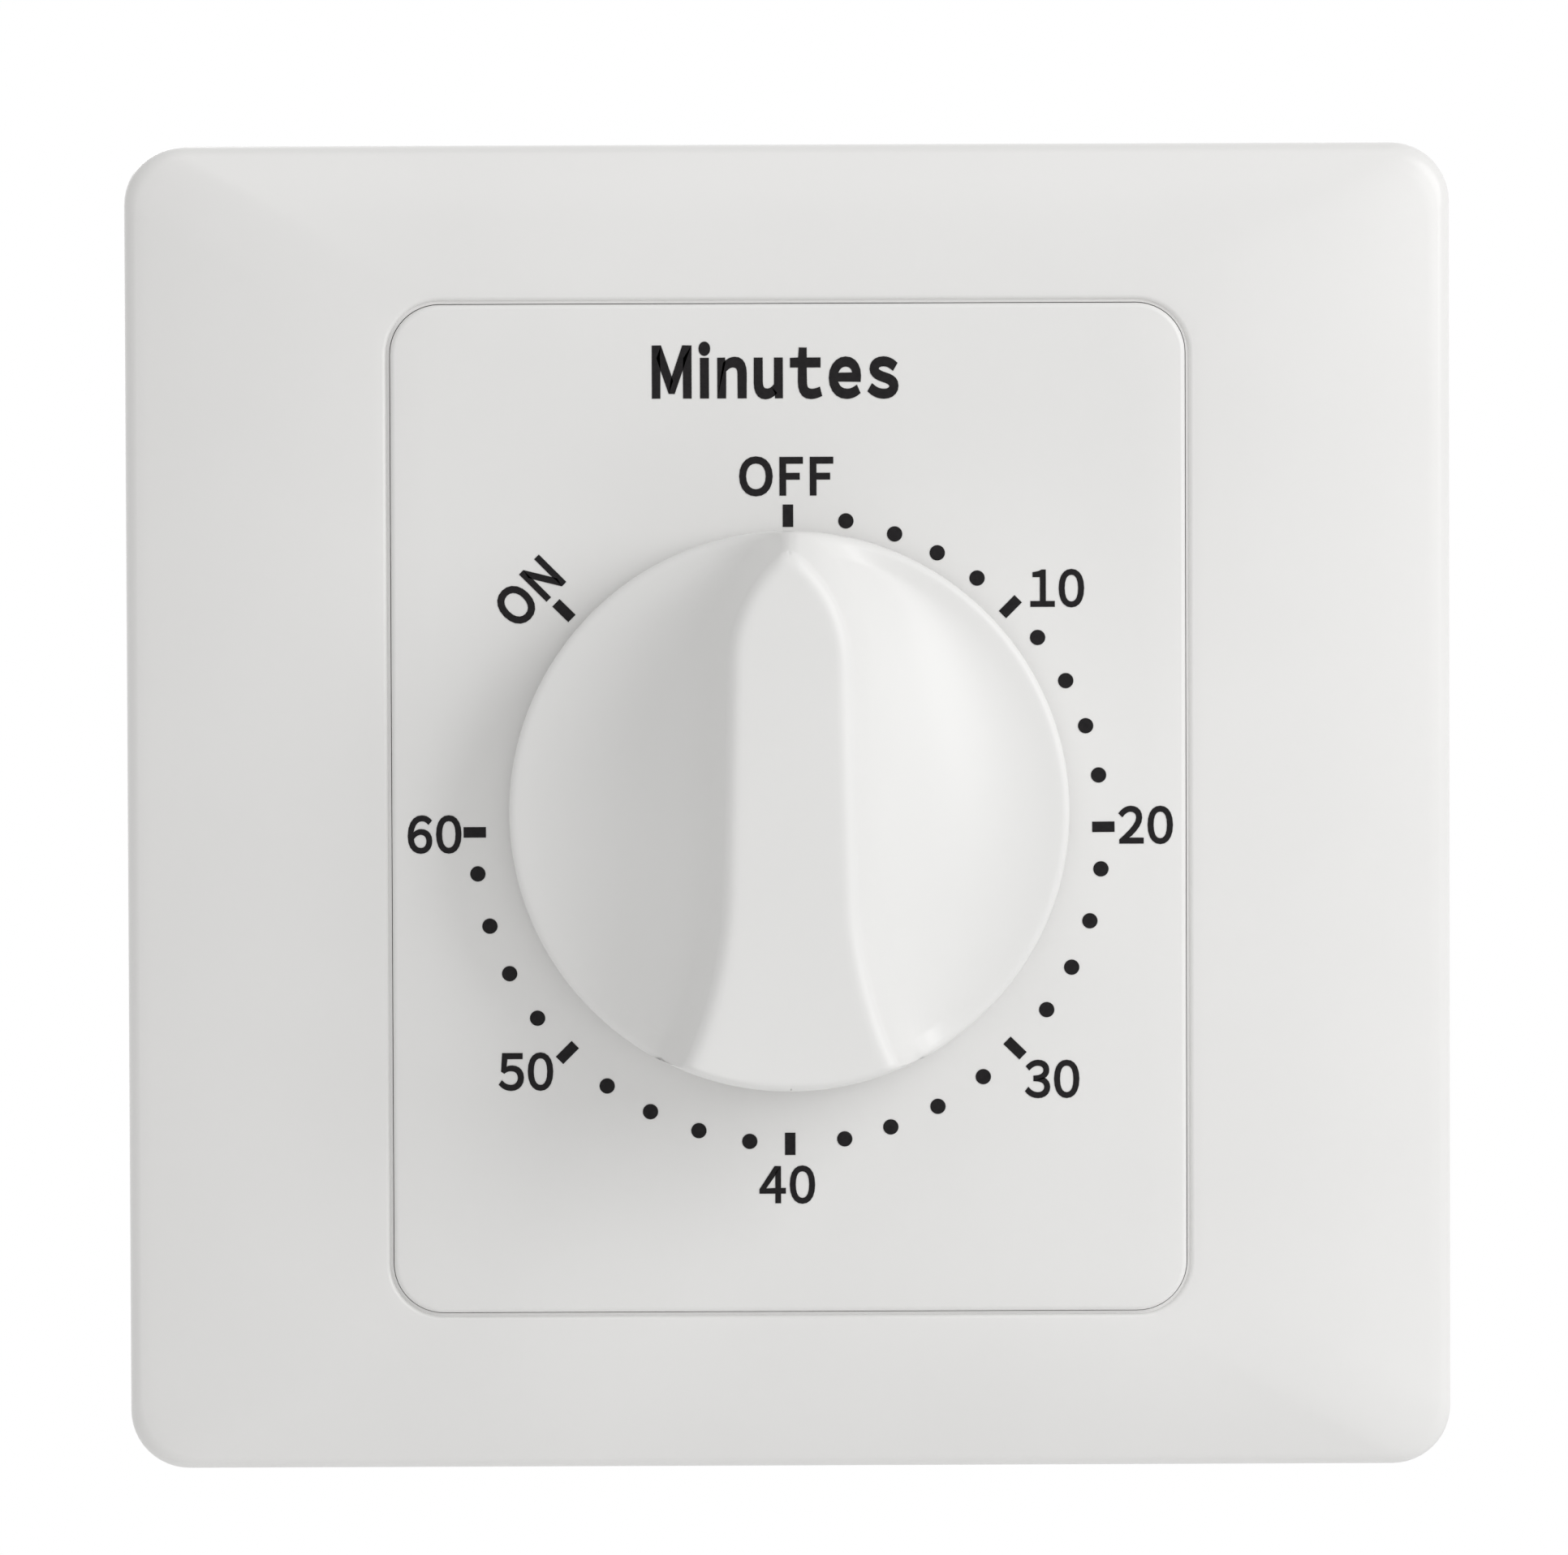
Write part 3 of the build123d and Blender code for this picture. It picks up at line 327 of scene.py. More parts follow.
surround = {
    "halfWide": 43.0, "halfHigh": 43.0, "corner": 3.8, "front": -8.8, "wall": 2.0, "backEase": 0.25,
    "crownDrop": 2.4, "crownRun": 13, "crownSteps": 22, "edgeRoll": 1.25, "edgeSlope": 20, "rollSteps": 8,
    "backCornerShare": 0.9, "rollCornerShare": 0.1,
    "openWide": 25.95, "openHigh": 32.9, "openCorner": 3.45, "openRoll": 0.3, "openSteps": 5,
    "lipWall": 1.2, "lipBack": -5.6, "ledge": 0.2, "ledgeFront": -8.5,
    "underCorner": 2.4, "innerCorner": 2.0, "innerDrop": 0.8,
    "armX": 22.0, "armZ": 37.6, "armHalfWide": 4, "armHalfThick": 0.7, "armFront": -6.9, "armBack": -0.88,
    "beadInset": 0.9, "beadHalfThick": 0.3, "beadFront": -1.76, "beadEase": 0.12,
}


def makeSurround(s):
    wide, high, corner, roll = s["halfWide"], s["halfHigh"], s["corner"], s["edgeRoll"]
    slope = math.radians(s["edgeSlope"])
    rollInset = roll * (1 - math.sin(slope))
    crownStart = s["front"] + s["crownDrop"] * (1 - rollInset / s["crownRun"]) ** 2
    wallTop = crownStart + roll * math.cos(slope)
    loops = []

    def addOuter(inset, radius, depth):
        loops.append(roundedLoop(wide - inset, high - inset, radius, depth))

    def addOpening(outset, depth):
        radius = s["openCorner"] + outset
        loops.append(roundedLoop(s["openWide"] + outset, s["openHigh"] + outset, radius, depth))

    ease = s["backEase"]
    for inset, depth in ((s["wall"], 0.0), (ease, 0.0), (0.0, -ease), (0.0, wallTop * 0.5)):
        addOuter(inset, corner - inset * s["backCornerShare"], depth)
    for step in range(s["rollSteps"] + 1):
        angle = (math.pi / 2 - slope) * step / s["rollSteps"]
        inset = roll * (1 - math.cos(angle))
        addOuter(inset, corner - s["rollCornerShare"] * inset, wallTop - roll * math.sin(angle))
    runWide = wide - rollInset - s["openWide"] - s["openRoll"]
    runHigh = high - rollInset - s["openHigh"] - s["openRoll"]
    for step in range(1, s["crownSteps"] + 1):
        share = step / s["crownSteps"]
        depth = s["front"] + (crownStart - s["front"]) * (1 - share) ** 2
        radius = corner * (1 - share) + (s["openCorner"] + s["openRoll"]) * share
        crownWide = wide - rollInset - runWide * share
        crownHigh = high - rollInset - runHigh * share
        loops.append(roundedLoop(crownWide, crownHigh, radius, depth))
    for step in range(1, s["openSteps"] + 1):
        angle = math.pi / 2 * step / s["openSteps"]
        outset = s["openRoll"] - s["openRoll"] * math.sin(angle)
        addOpening(outset, s["front"] + s["openRoll"] * (1 - math.cos(angle)))
    addOpening(-s["ledge"], s["ledgeFront"])
    addOpening(-s["ledge"], s["lipBack"])
    addOpening(s["lipWall"], s["lipBack"])
    addOpening(s["lipWall"], s["front"] + s["wall"])
    underEdge = s["front"] + s["crownDrop"] + s["wall"]
    addOuter(2 * s["wall"], s["underCorner"], underEdge)
    addOuter(s["wall"], s["innerCorner"], underEdge + s["innerDrop"])
    points, faces = skin(loops, closed=True)
    # Snap arms with a bead each
    for sideX, sideZ in quarters:
        x, z = sideX * s["armX"], sideZ * s["armZ"]
        half, thick = s["armHalfWide"], s["armHalfThick"]
        addBox(points, faces, (x - half, s["armFront"], z - thick), (x + half, s["armBack"], z + thick))
        z -= sideZ * s["beadInset"]
        thick = s["beadHalfThick"]
        low, high = (x - half, s["beadFront"], z - thick), (x + half, s["armBack"], z + thick)
        addBox(points, faces, low, high, s["beadEase"])
    return newPiece("surround", points, faces, finishes["white_gloss"], "case")


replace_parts(makeSurround(surround), "surround_frame")
print("surround made")

# Centre panel

panel = {
    "halfWide": 25.7, "halfHigh": 32.65, "corner": 3.2, "front": -9.0, "thickness": 2.2, "edgeRoll": 0.35,
    "rollSteps": 5, "frontRings": (0.3, 0.6, 0.9), "backRing": 0.5, "hole": 3.6,
    "skirtBack": -5.1, "skirtWall": 1.2,
    "legX": 20.48, "legZ": 22.0, "legHalfThick": 0.55, "legHalfWide": 2.5,
    "barbOut": 0.7, "barbHalfThick": 0.25, "barbTall": 0.5, "barbEase": 0.1,
}


def makePanel(s):
    wide, high, corner = s["halfWide"], s["halfHigh"], s["corner"]
    back = s["front"] + s["thickness"]
    outside = roundedLoop(wide, high, corner, 0)
    loops = [circleLike(outside, s["hole"], back), circleLike(outside, s["hole"], s["front"])]
    for share in s["frontRings"]:
        loops.append([(x * share, s["front"], z * share) for x, _, z in outside])
    for step in range(s["rollSteps"] + 1):
        angle = math.pi / 2 * step / s["rollSteps"]
        inset = s["edgeRoll"] * (1 - math.sin(angle))
        depth = s["front"] + s["edgeRoll"] * (1 - math.cos(angle))
        loops.append(roundedLoop(wide - inset, high - inset, corner - inset, depth))
    loops.append(roundedLoop(wide, high, corner, s["skirtBack"]))
    inner = s["skirtWall"]
    for depth in (s["skirtBack"], back):
        loops.append(roundedLoop(wide - inner, high - inner, corner - inner, depth))
    loops.append([(x * s["backRing"], back, z * s["backRing"]) for x, _, z in outside])
    points, faces = skin(loops, closed=True)
    # Legs that snap into the mounting plate, with a barb each
    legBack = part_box("centre_panel")[1][1] / mm
    for sideX, sideZ in quarters:
        x, z = sideX * s["legX"], sideZ * s["legZ"]
        half, thick = s["legHalfWide"], s["legHalfThick"]
        addBox(points, faces, (x - thick, back, z - half), (x + thick, legBack, z + half))
        x += sideX * s["barbOut"]
        thick = s["barbHalfThick"]
        low, high = (x - thick, legBack - s["barbTall"], z - half), (x + thick, legBack, z + half)
        addBox(points, faces, low, high, s["barbEase"])
    return newPiece("dialPanel", points, faces, finishes["panel_white"], "case")


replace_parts(makePanel(panel), "centre_panel")
print("panel made")

# Dial print

dial = {
    "middle": (0.0, -1.4), "marks": 20.35, "proud": 0.03, "sunk": 0.1, "tick": (0.68, 1.45), "dot": 0.5,
    "ticks": (-45.5, 0, 44.9, 89.6, 134.2, 180, 225.1, 269.8),
    "dots": (
        10.6, 19.8, 28.3, 36.9, 52.4, 61.8, 70.8, 80.1, 97.3, 107.0, 116.1, 125.1, 142.0, 151.9, 161.3, 170.0,
        187.4, 196.9, 206.4, 215.6, 233.4, 243.0, 252.4, 262.2,
    ),
    "figures": {"tall": 2.5, "weight": 0.026, "squeeze": 0.9, "gap": 0.14},
    "words": {"tall": 2.6, "weight": 0.034, "squeeze": 0.89, "gap": 0.22},
    "legend": {"tall": 3.75, "weight": 0.043, "squeeze": 0.79, "gap": 0.22},
    "labels": (
        ("OFF", -0.1, 21.5, 0), ("10", 17.4, 14.2, 0), ("20", 23.1, -1.15, 0), ("30", 17.0, -17.6, 0),
        ("40", -0.2, -24.4, 0), ("50", -17.1, -17.0, 0), ("60", -22.95, -1.6, 0), ("ON", -16.8, 14.05, 45),
    ),
    "unit": ("Minutes", -0.8, 28.35, 0),
}
letters = {"wideForms": 0xFEE0, "curveSteps": 5, "weld": 0.0002, "leastPush": 0.2, "sharpCorner": 0.75}


def makeMarks(s):
    points, faces = [], []
    front = panel["front"] - s["proud"]
    back = panel["front"] + s["sunk"]
    middleX, middleZ = s["middle"]
    halfAcross, halfAlong = s["tick"][0] / 2, s["tick"][1] / 2
    for turn in s["ticks"]:
        angle = math.radians(90 - turn)
        outX, outZ = math.cos(angle), math.sin(angle)
        outline = []
        for a, b in ((-1, -1), (1, -1), (1, 1), (-1, 1)):
            reach = s["marks"] + b * halfAlong
            aside = a * halfAcross
            x = middleX + outX * reach - outZ * aside
            z = middleZ + outZ * reach + outX * aside
            outline.append((x, z))
        addTo(points, faces, *prism(outline, front, back))
    for turn in s["dots"]:
        angle = math.radians(90 - turn)
        x = middleX + math.cos(angle) * s["marks"]
        z = middleZ + math.sin(angle) * s["marks"]
        addTo(points, faces, *prism(circleAround(x, z, s["dot"]), front, back))
    return newPiece("dialMarks", points, faces, ink, "case", 20)


def thicken(cut, weight):
    # Pushes the outline of flat letters outwards
    pushes = {}
    for edge in cut.edges:
        if len(edge.link_faces) == 1:
            a, b = edge.verts
            out = (b.co - a.co).cross((0, 0, 1)).normalized()
            if out.dot(edge.link_faces[0].calc_center_median() - a.co) > 0:
                out.negate()
            for v in edge.verts:
                pushes.setdefault(v, []).append(out)
    for v, ways in pushes.items():
        total = sum(ways[1:], ways[0].copy())
        if total.length > letters["leastPush"]:
            v.co += total.normalized() * weight / max(total.length / len(ways), letters["sharpCorner"])


def drawLetter(letter):
    # The wide form of a character, which Blender draws flat with its own plain sans face
    curve = bpy.data.curves.new("letter", type="FONT")
    curve.body = chr(ord(letter) + letters["wideForms"])
    curve.resolution_u = letters["curveSteps"]
    drawn = bpy.data.objects.new("letter", curve)
    flat = bpy.data.meshes.new_from_object(drawn)
    bpy.data.objects.remove(drawn)
    bpy.data.curves.remove(curve)
    return flat


def makeWord(name, text, x, z, turn, s):
    # Letters are set side by side at full size, then laid just proud of the panel
    cut = bmeshTools.new()
    along = 0.0
    for letter in text:
        flat = drawLetter(letter)
        across = [v.co.x for v in flat.vertices]
        flat.transform(Matrix.Translation((along - min(across), 0, 0)))
        cut.from_mesh(flat)
        bpy.data.meshes.remove(flat)
        along += max(across) - min(across) + s["gap"]
    bmeshTools.ops.remove_doubles(cut, verts=cut.verts, dist=letters["weld"])
    thicken(cut, s["weight"])
    low = min(v.co.y for v in cut.verts)
    tall = max(v.co.y for v in cut.verts) - low
    middle = (along - s["gap"]) / 2
    size = s["tall"] / tall
    lineX, lineZ = math.cos(math.radians(turn)), math.sin(math.radians(turn))
    raised = bmeshTools.ops.extrude_face_region(cut, geom=cut.faces[:])
    lifted = {v for v in raised["geom"] if isinstance(v, bmeshTools.types.BMVert)}
    for v in cut.verts:
        u = (v.co.x - middle) * size * s["squeeze"]
        w = (v.co.y - low - tall / 2) * size
        depth = panel["front"] + (-dial["proud"] if v in lifted else dial["sunk"])
        v.co = Vector((x + u * lineX - w * lineZ, depth, z + u * lineZ + w * lineX)) * mm
    bmeshTools.ops.recalc_face_normals(cut, faces=cut.faces)
    mesh = bpy.data.meshes.new(name)
    cut.to_mesh(mesh)
    cut.free()
    mesh.materials.append(ink)
    word = addObject(name, mesh)
    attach(word, "case")


makeMarks(dial)
for text, x, z, turn in dial["labels"]:
    name = "figure" + text if text.isdigit() else "word" + text.title()
    makeWord(name, text, x, z, turn, dial["figures" if text.isdigit() else "words"])
makeWord("unitLegend", *dial["unit"], dial["legend"])
print("dial printed")

# Knob

knob = {
    "radius": 18.0, "height": 17.0, "back": -9.6, "rimHeight": 5.5, "rimRoll": 0.5, "rimBand": 1.4,
    "edgeRoll": 1.1, "tipBlend": 0.9, "steepest": 5.0, "steepFrom": 1.5,
    "scoopRadius": 14.8, "scoopReach": 14.4, "waist": (4.2, -4.5), "shoulder": (3.83, 9.9),
    "tailRadius": 28.8, "tailAngle": 21.5, "tailRun": 9.0, "archRadius": 9.0, "archAngle": 51.0,
    "draft": 0.075, "draftFrom": 11, "draftRun": 7, "draftBelow": 6,
    "lineSteps": 60, "archSteps": 80, "beyondStep": 0.1, "beyondCount": 90,
    "chunk": 2000, "tangentStep": 0.02,
    "entryRows": 24, "entryRun": 3.0, "entryPower": 1.6, "sideRows": 56, "sideGap": 0.2, "archRows": 46,
    "fanRows": 8, "insideColumns": 18, "outsideColumns": 40, "onRim": 0.0005, "ringGap": 0.004,
    "wall": (
        (18.0, 0.4), (17.88, 0.12), (17.6, 0.0), (16.0, 0.0), (16.0, 3.5), (5.2, 3.5), (5.2, 0.0),
        (3.06, 0.0), (3.06, 13.0), (0.5, 13.0),
    ),
}


def ahead(start, heading, distance):
    way = math.radians(heading)
    return start[0] + distance * math.cos(way), start[1] + distance * math.sin(way)


def lineRun(start, end, steps, count):
    (x0, z0), (x1, z1) = start, end
    return [(x0 + (x1 - x0) * k / steps, z0 + (z1 - z0) * k / steps) for k in range(count)]


def arcRun(start, heading, radius, sweep, steps):
    # Points on an arc that turns left, from a start and a heading in degrees
    a = math.radians(heading)
    centre = (start[0] - radius * math.sin(a), start[1] + radius * math.cos(a))
    run = []
    for step in range(1, steps + 1):
        b = a + math.radians(sweep) * step / steps
        run.append((centre[0] + radius * math.sin(b), centre[1] - radius * math.cos(b)))
    return run, heading + sweep


def gripEdge(s):
    # The right edge of the grip bar seen from the front, from below the tail to past the tip
    waist, shoulder, steps = s["waist"], s["shoulder"], s["lineSteps"]
    lean = math.degrees(math.atan2(waist[0] - shoulder[0], shoulder[1] - waist[1]))
    tail, heading = arcRun(waist, -90 + lean, s["tailRadius"], s["tailAngle"], steps)
    below = lineRun(ahead(tail[-1], heading, s["tailRun"]), tail[-1], steps, steps)
    straight = lineRun(waist, shoulder, steps, steps + 1)
    arch, heading = arcRun(shoulder, 90 + lean, s["archRadius"], s["archAngle"], s["archSteps"])
    beyond = [ahead(arch[-1], heading, s["beyondStep"] * k) for k in range(1, s["beyondCount"])]
    return np.array(below + tail[::-1] + straight + arch + beyond)


def outFromEdge(edge, places, chunk):
    # Signed distance from the bar's edge, positive into the scoop
    start, span = edge[:-1], edge[1:] - edge[:-1]
    squares = (span**2).sum(1)
    answer = np.zeros(len(places))
    for first in range(0, len(places), chunk):
        some = places[first : first + chunk]
        off = some[:, None, :] - start[None]
        share = np.clip((off * span[None]).sum(2) / squares[None], 0, 1)
        gap = off - share[..., None] * span[None]
        distance = np.sqrt((gap**2).sum(2))
        nearest = distance.argmin(1)
        rows = np.arange(len(some))
        side = span[nearest, 1] * off[rows, nearest, 0] - span[nearest, 0] * off[rows, nearest, 1]
        answer[first : first + chunk] = np.where(side > 0, 1, -1) * distance[rows, nearest]
    return answer


def knobHeight(s, edge, places):
    # Flat on the bar, rolled at its edge, then down the scoop to the rim
    ease, bowl, reach = s["edgeRoll"], s["scoopRadius"], s["scoopReach"]
    bowlCentre = s["rimHeight"] + bowl
    easeStart = reach - math.sqrt((bowl + ease) ** 2 - (bowlCentre - s["height"] + ease) ** 2)
    easeEnd = easeStart + ease * (reach - easeStart) / (bowl + ease)
    right = outFromEdge(edge, places, s["chunk"])
    left = outFromEdge(edge, places * np.array([-1, 1]), s["chunk"])
    near = np.maximum(0, s["tipBlend"] - np.abs(right - left)) / s["tipBlend"]
    out = np.maximum(right, left) + near**2 * s["tipBlend"] / 4
    # Where the rim is near, the scoop falls faster, so that it always runs out at the rim's band
    reaches = np.hypot(places[:, 0], places[:, 1])
    gap = np.maximum(0, s["radius"] - s["rimBand"] - reaches)
    stretch = s["steepest"] * np.tanh(np.maximum(1, reach / np.maximum(out + gap, 0.001)) / s["steepest"])
    started = np.clip(out / s["steepFrom"], 0, 1)
    started = started**2 * (3 - 2 * started)
    out = np.where(out > 0, out * (1 + np.maximum(0, stretch - 1) * started), out)
    rolled = s["height"] - ease + np.sqrt(np.maximum(0, ease**2 - (out - easeStart) ** 2))
    bowled = bowlCentre - np.sqrt(np.maximum(0, bowl**2 - (reach - out) ** 2))
    level = np.where(out > easeStart, rolled, s["height"])
    level = np.where(out > easeEnd, bowled, level)
    level = np.where(out > reach, s["rimHeight"], level)
    beyond = reaches - (s["radius"] - s["rimRoll"])
    drop = s["rimRoll"] - np.sqrt(np.maximum(0, s["rimRoll"] ** 2 - np.maximum(0, beyond) ** 2))
    return level - np.where(beyond > 0, drop, 0)


def knobGrid(s):
    # Rows of places across the right half of the knob's face, square to the bar's edge
    edge = gripEdge(s)
    radius = s["radius"]
    steps = edge[1:] - edge[:-1]
    lengths = np.concatenate([[0], np.cumsum(np.hypot(steps[:, 0], steps[:, 1]))])
    reachOut = np.hypot(edge[:, 0], edge[:, 1])
    firstIn = int(np.argmax(reachOut < radius))
    share = (reachOut[firstIn - 1] - radius) / (reachOut[firstIn - 1] - reachOut[firstIn])
    crossing = lengths[firstIn - 1] + share * (lengths[firstIn] - lengths[firstIn - 1])
    past = int(np.argmax(edge[:, 0] < 0))
    share = edge[past - 1, 0] / (edge[past - 1, 0] - edge[past, 0])
    tipAt = lengths[past - 1] + share * (lengths[past] - lengths[past - 1])
    fromShoulder = np.hypot(edge[:, 0] - s["shoulder"][0], edge[:, 1] - s["shoulder"][1])
    shoulderAt = lengths[int(np.argmin(fromShoulder))]
    entryShares = (np.arange(0, s["entryRows"]) / s["entryRows"]) ** s["entryPower"]
    rows = list(crossing + s["entryRun"] * entryShares)
    rows += list(np.linspace(crossing + s["entryRun"], shoulderAt - s["sideGap"], s["sideRows"]))
    rows += list(np.linspace(shoulderAt, tipAt, s["archRows"]))
    inside, outside = s["insideColumns"], s["outsideColumns"]
    insideShares = [1 - (1 - math.cos(math.pi * k / inside)) / 2 for k in range(inside)]
    outsideShares = [(1 - math.cos(math.pi * k / outside)) / 2 for k in range(outside + 1)]
    places = []

    def onEdge(at):
        return np.array([np.interp(at, lengths, edge[:, 0]), np.interp(at, lengths, edge[:, 1])])

    def toRim(p, way):
        along = p[0] * way[0] + p[1] * way[1]
        return -along + math.sqrt(max(0.0, along**2 - (p[0] ** 2 + p[1] ** 2 - radius**2)))

    for at in rows:
        p = onEdge(at)
        way = onEdge(at + s["tangentStep"]) - onEdge(at - s["tangentStep"])
        way /= np.hypot(*way)
        out = np.array([way[1], -way[0]])
        outLength = toRim(p, out)
        inLength = min(toRim(p, -out), p[0] / out[0])
        places += [p - out * inLength * share for share in insideShares]
        places += [p + out * outLength * share for share in outsideShares]
    # A fan from the tip closes the rows over the top
    tip = p
    rimEnd = p + out * outLength
    startAngle = math.atan2(rimEnd[1], rimEnd[0])
    for row in range(1, s["fanRows"] + 1):
        angle = startAngle + (math.pi / 2 - startAngle) * row / s["fanRows"]
        goal = np.array([radius * math.cos(angle), radius * math.sin(angle)])
        places += [tip] * len(insideShares)
        places += [tip + (goal - tip) * share for share in outsideShares]
    places = np.array(places)
    places[:, 0] = np.maximum(places[:, 0], 0)
    return edge, places, len(rows) + s["fanRows"], len(insideShares) + len(outsideShares)


def makeKnob(s):
    edge, places, rowCount, columns = knobGrid(s)
    radius = s["radius"]
    heights = knobHeight(s, edge, places)
    # The tall end of the bar leans in a little towards its crest
    reaches = np.hypot(places[:, 0], places[:, 1])
    nearRim = np.clip((reaches - s["draftFrom"]) / s["draftRun"], 0, 1)
    nearRim = nearRim * np.clip(-places[:, 1] / s["draftBelow"], 0, 1)
    lean = s["draft"] * np.maximum(0, heights - s["rimHeight"]) * nearRim**2
    placed = places * (1 - lean / np.maximum(reaches, 1))[:, None]
    points, faces = [], []
    for side in (1, -1):
        first = len(points)
        points += [(side * x, s["back"] - h, z) for (x, z), h in zip(placed, heights)]
        for r in range(rowCount - 1):
            for c in range(columns - 1):
                here = first + r * columns + c
                there = here + columns
                quad = (here, here + 1, there + 1, there)
                faces.append(quad if side > 0 else quad[::-1])
    # The wall hangs from the rim's own points
    half = [points[k] for k in np.nonzero(reaches > radius - s["onRim"])[0]]
    rim = sorted(half + [(-x, y, z) for x, y, z in half], key=lambda p: math.atan2(p[2], p[0]))
    ring = []
    for p in rim:
        if not ring or math.hypot(p[0] - ring[-1][0], p[2] - ring[-1][2]) > s["ringGap"]:
            ring.append(p)
    ways = [(x / math.hypot(x, z), z / math.hypot(x, z)) for x, _, z in ring]
    rimLevel = s["back"] - s["rimHeight"] + s["rimRoll"]
    loops = [ring, [(radius * x, max(p[1], rimLevel), radius * z) for (x, z), p in zip(ways, ring)]]
    for reach, height in s["wall"]:
        loops.append([(reach * x, s["back"] - height, reach * z) for x, z in ways])
    addTo(points, faces, *skin(loops))
    faces.append(tuple(range(len(points) - len(ring), len(points))))
    return newPiece("knobShell", points, faces, finishes["knob_white"], "knob_shaft", 40)


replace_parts(makeKnob(knob), "knob")
print("knob made")

# Screws

screws = {
    "coverScrews": {
        "node": "cover_screws", "places": ((-16, -34.25), (-16, 34.25), (16, -34.25), (16, 34.25)),
        "axis": "back", "seat": 2.4, "end": -3.6, "top": 4.0, "shank": 1.4, "head": 2.7,
        "arm": (0.36, 1.5), "deep": 0.8,
    },
    "pillarScrews": {
        "node": "pillar_screws", "places": ((-18, -12.3), (-18, 24.5), (18, -12.3), (18, 24.5)),
        "axis": "back", "seat": 15.8, "end": 9.6, "top": 17.0, "shank": 1.2, "head": 2.3,
        "arm": (0.3, 1.25), "deep": 0.7,
    },
    "blockScrews": {
        "node": "block_screws", "places": ((-14, -23), (14, -23)),
        "axis": "front", "seat": 4.5, "end": -4.5, "top": 5.8, "shank": 1.4, "head": 2.7,
        "arm": (0.36, 1.5), "deep": 0.8,
    },
    "terminalScrews": {
        "node": "terminal_screws", "places": ((-13, 20.5), (13, 20.5)),
        "axis": "down", "seat": 26.6, "end": 23.8, "top": 28.0, "shank": 1.6, "head": 2.7,
        "arm": (0.4, 2.2), "deep": 0.7,
    },
}
screwForm = {
    "sides": 48, "tip": 0.3, "tipShare": 0.72, "tipRun": 0.5, "headEase": 0.1, "shoulderShare": 0.55,
    "rimShare": 0.25, "domeSteps": 5, "recessShare": 0.8,
}


def crossLoop(arm, angles, shrink=1.0):
    # The outline of a cross recess, met at the same angles as the head's round
    half, reach = arm[0] * shrink, arm[1] * shrink
    loop = []
    for angle in angles:
        across = max(abs(math.cos(angle)), abs(math.sin(angle)))
        along = min(abs(math.cos(angle)), abs(math.sin(angle)))
        radius = min(reach / across, half / max(along, 0.001))
        loop.append((radius * math.cos(angle), radius * math.sin(angle)))
    return loop


def makeScrews(name, s):
    form = screwForm
    corner = math.atan2(*s["arm"])
    angles = {round(math.radians(360 / form["sides"] * k), 6) for k in range(form["sides"])}
    for quarter in range(4):
        angles |= {round((math.pi / 2 * quarter + way * corner) % (2 * math.pi), 6) for way in (-1, 1)}
    angles = sorted(angles)
    shoulder = s["head"] - s["shank"] * form["shoulderShare"]
    rise = s["top"] - s["seat"]
    rim = form["rimShare"]
    profile = [
        (form["tip"], s["end"]), (s["shank"] * form["tipShare"], s["end"]),
        (s["shank"], s["end"] + form["tipRun"]), (s["shank"], s["seat"]),
        (s["head"] - form["headEase"], s["seat"]),
    ]
    for step in range(form["domeSteps"] + 1):
        turn = math.pi / 2 * step / form["domeSteps"]
        reach = shoulder + (s["head"] - shoulder) * math.cos(turn)
        profile.append((reach, s["seat"] + rise * rim + rise * (1 - rim) * math.sin(turn)))
    loops = [[(r * math.cos(a), r * math.sin(a), h) for a in angles] for r, h in profile]
    loops.append([(x, z, s["top"]) for x, z in crossLoop(s["arm"], angles)])
    recess = crossLoop(s["arm"], angles, form["recessShare"])
    loops.append([(x, z, s["top"] - s["deep"]) for x, z in recess])
    shape, sides = cappedSkin(loops)
    points, faces = [], []
    for first, second in s["places"]:
        if s["axis"] == "back":
            placed = [(first + u, h, second + v) for u, v, h in shape]
        elif s["axis"] == "front":
            placed = [(first + u, -h, second + v) for u, v, h in shape]
        else:
            placed = [(first + u, second + v, -h) for u, v, h in shape]
        addTo(points, faces, placed, sides)
    return newPiece(name, points, faces, finishes["steel"], "case", 35)


for name, values in screws.items():
    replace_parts(makeScrews(name, values), values["node"])
print("screws made")

# Rear cover

cover = {
    "halfWide": 24.2, "halfHigh": 31.15, "corner": 2.6, "cornerShare": 0.6, "innerCorner": 0.8, "depth": 27.8,
    "wall": 1.8, "edgeRoll": 1.5, "rollSteps": 6,
    "ears": ((-16, -34.25), (-16, 34.25), (16, -34.25), (16, 34.25)),
    "earRadius": 3.3, "earRoot": 0.4, "earThick": 2.4, "earHole": 1.6, "earSteps": 16, "past": 1,
    "cut": ((-19.7, 10.0, -33.0), (19.7, 29.0, -16.5)), "cutRound": 1.6, "cutSteps": 6,
}


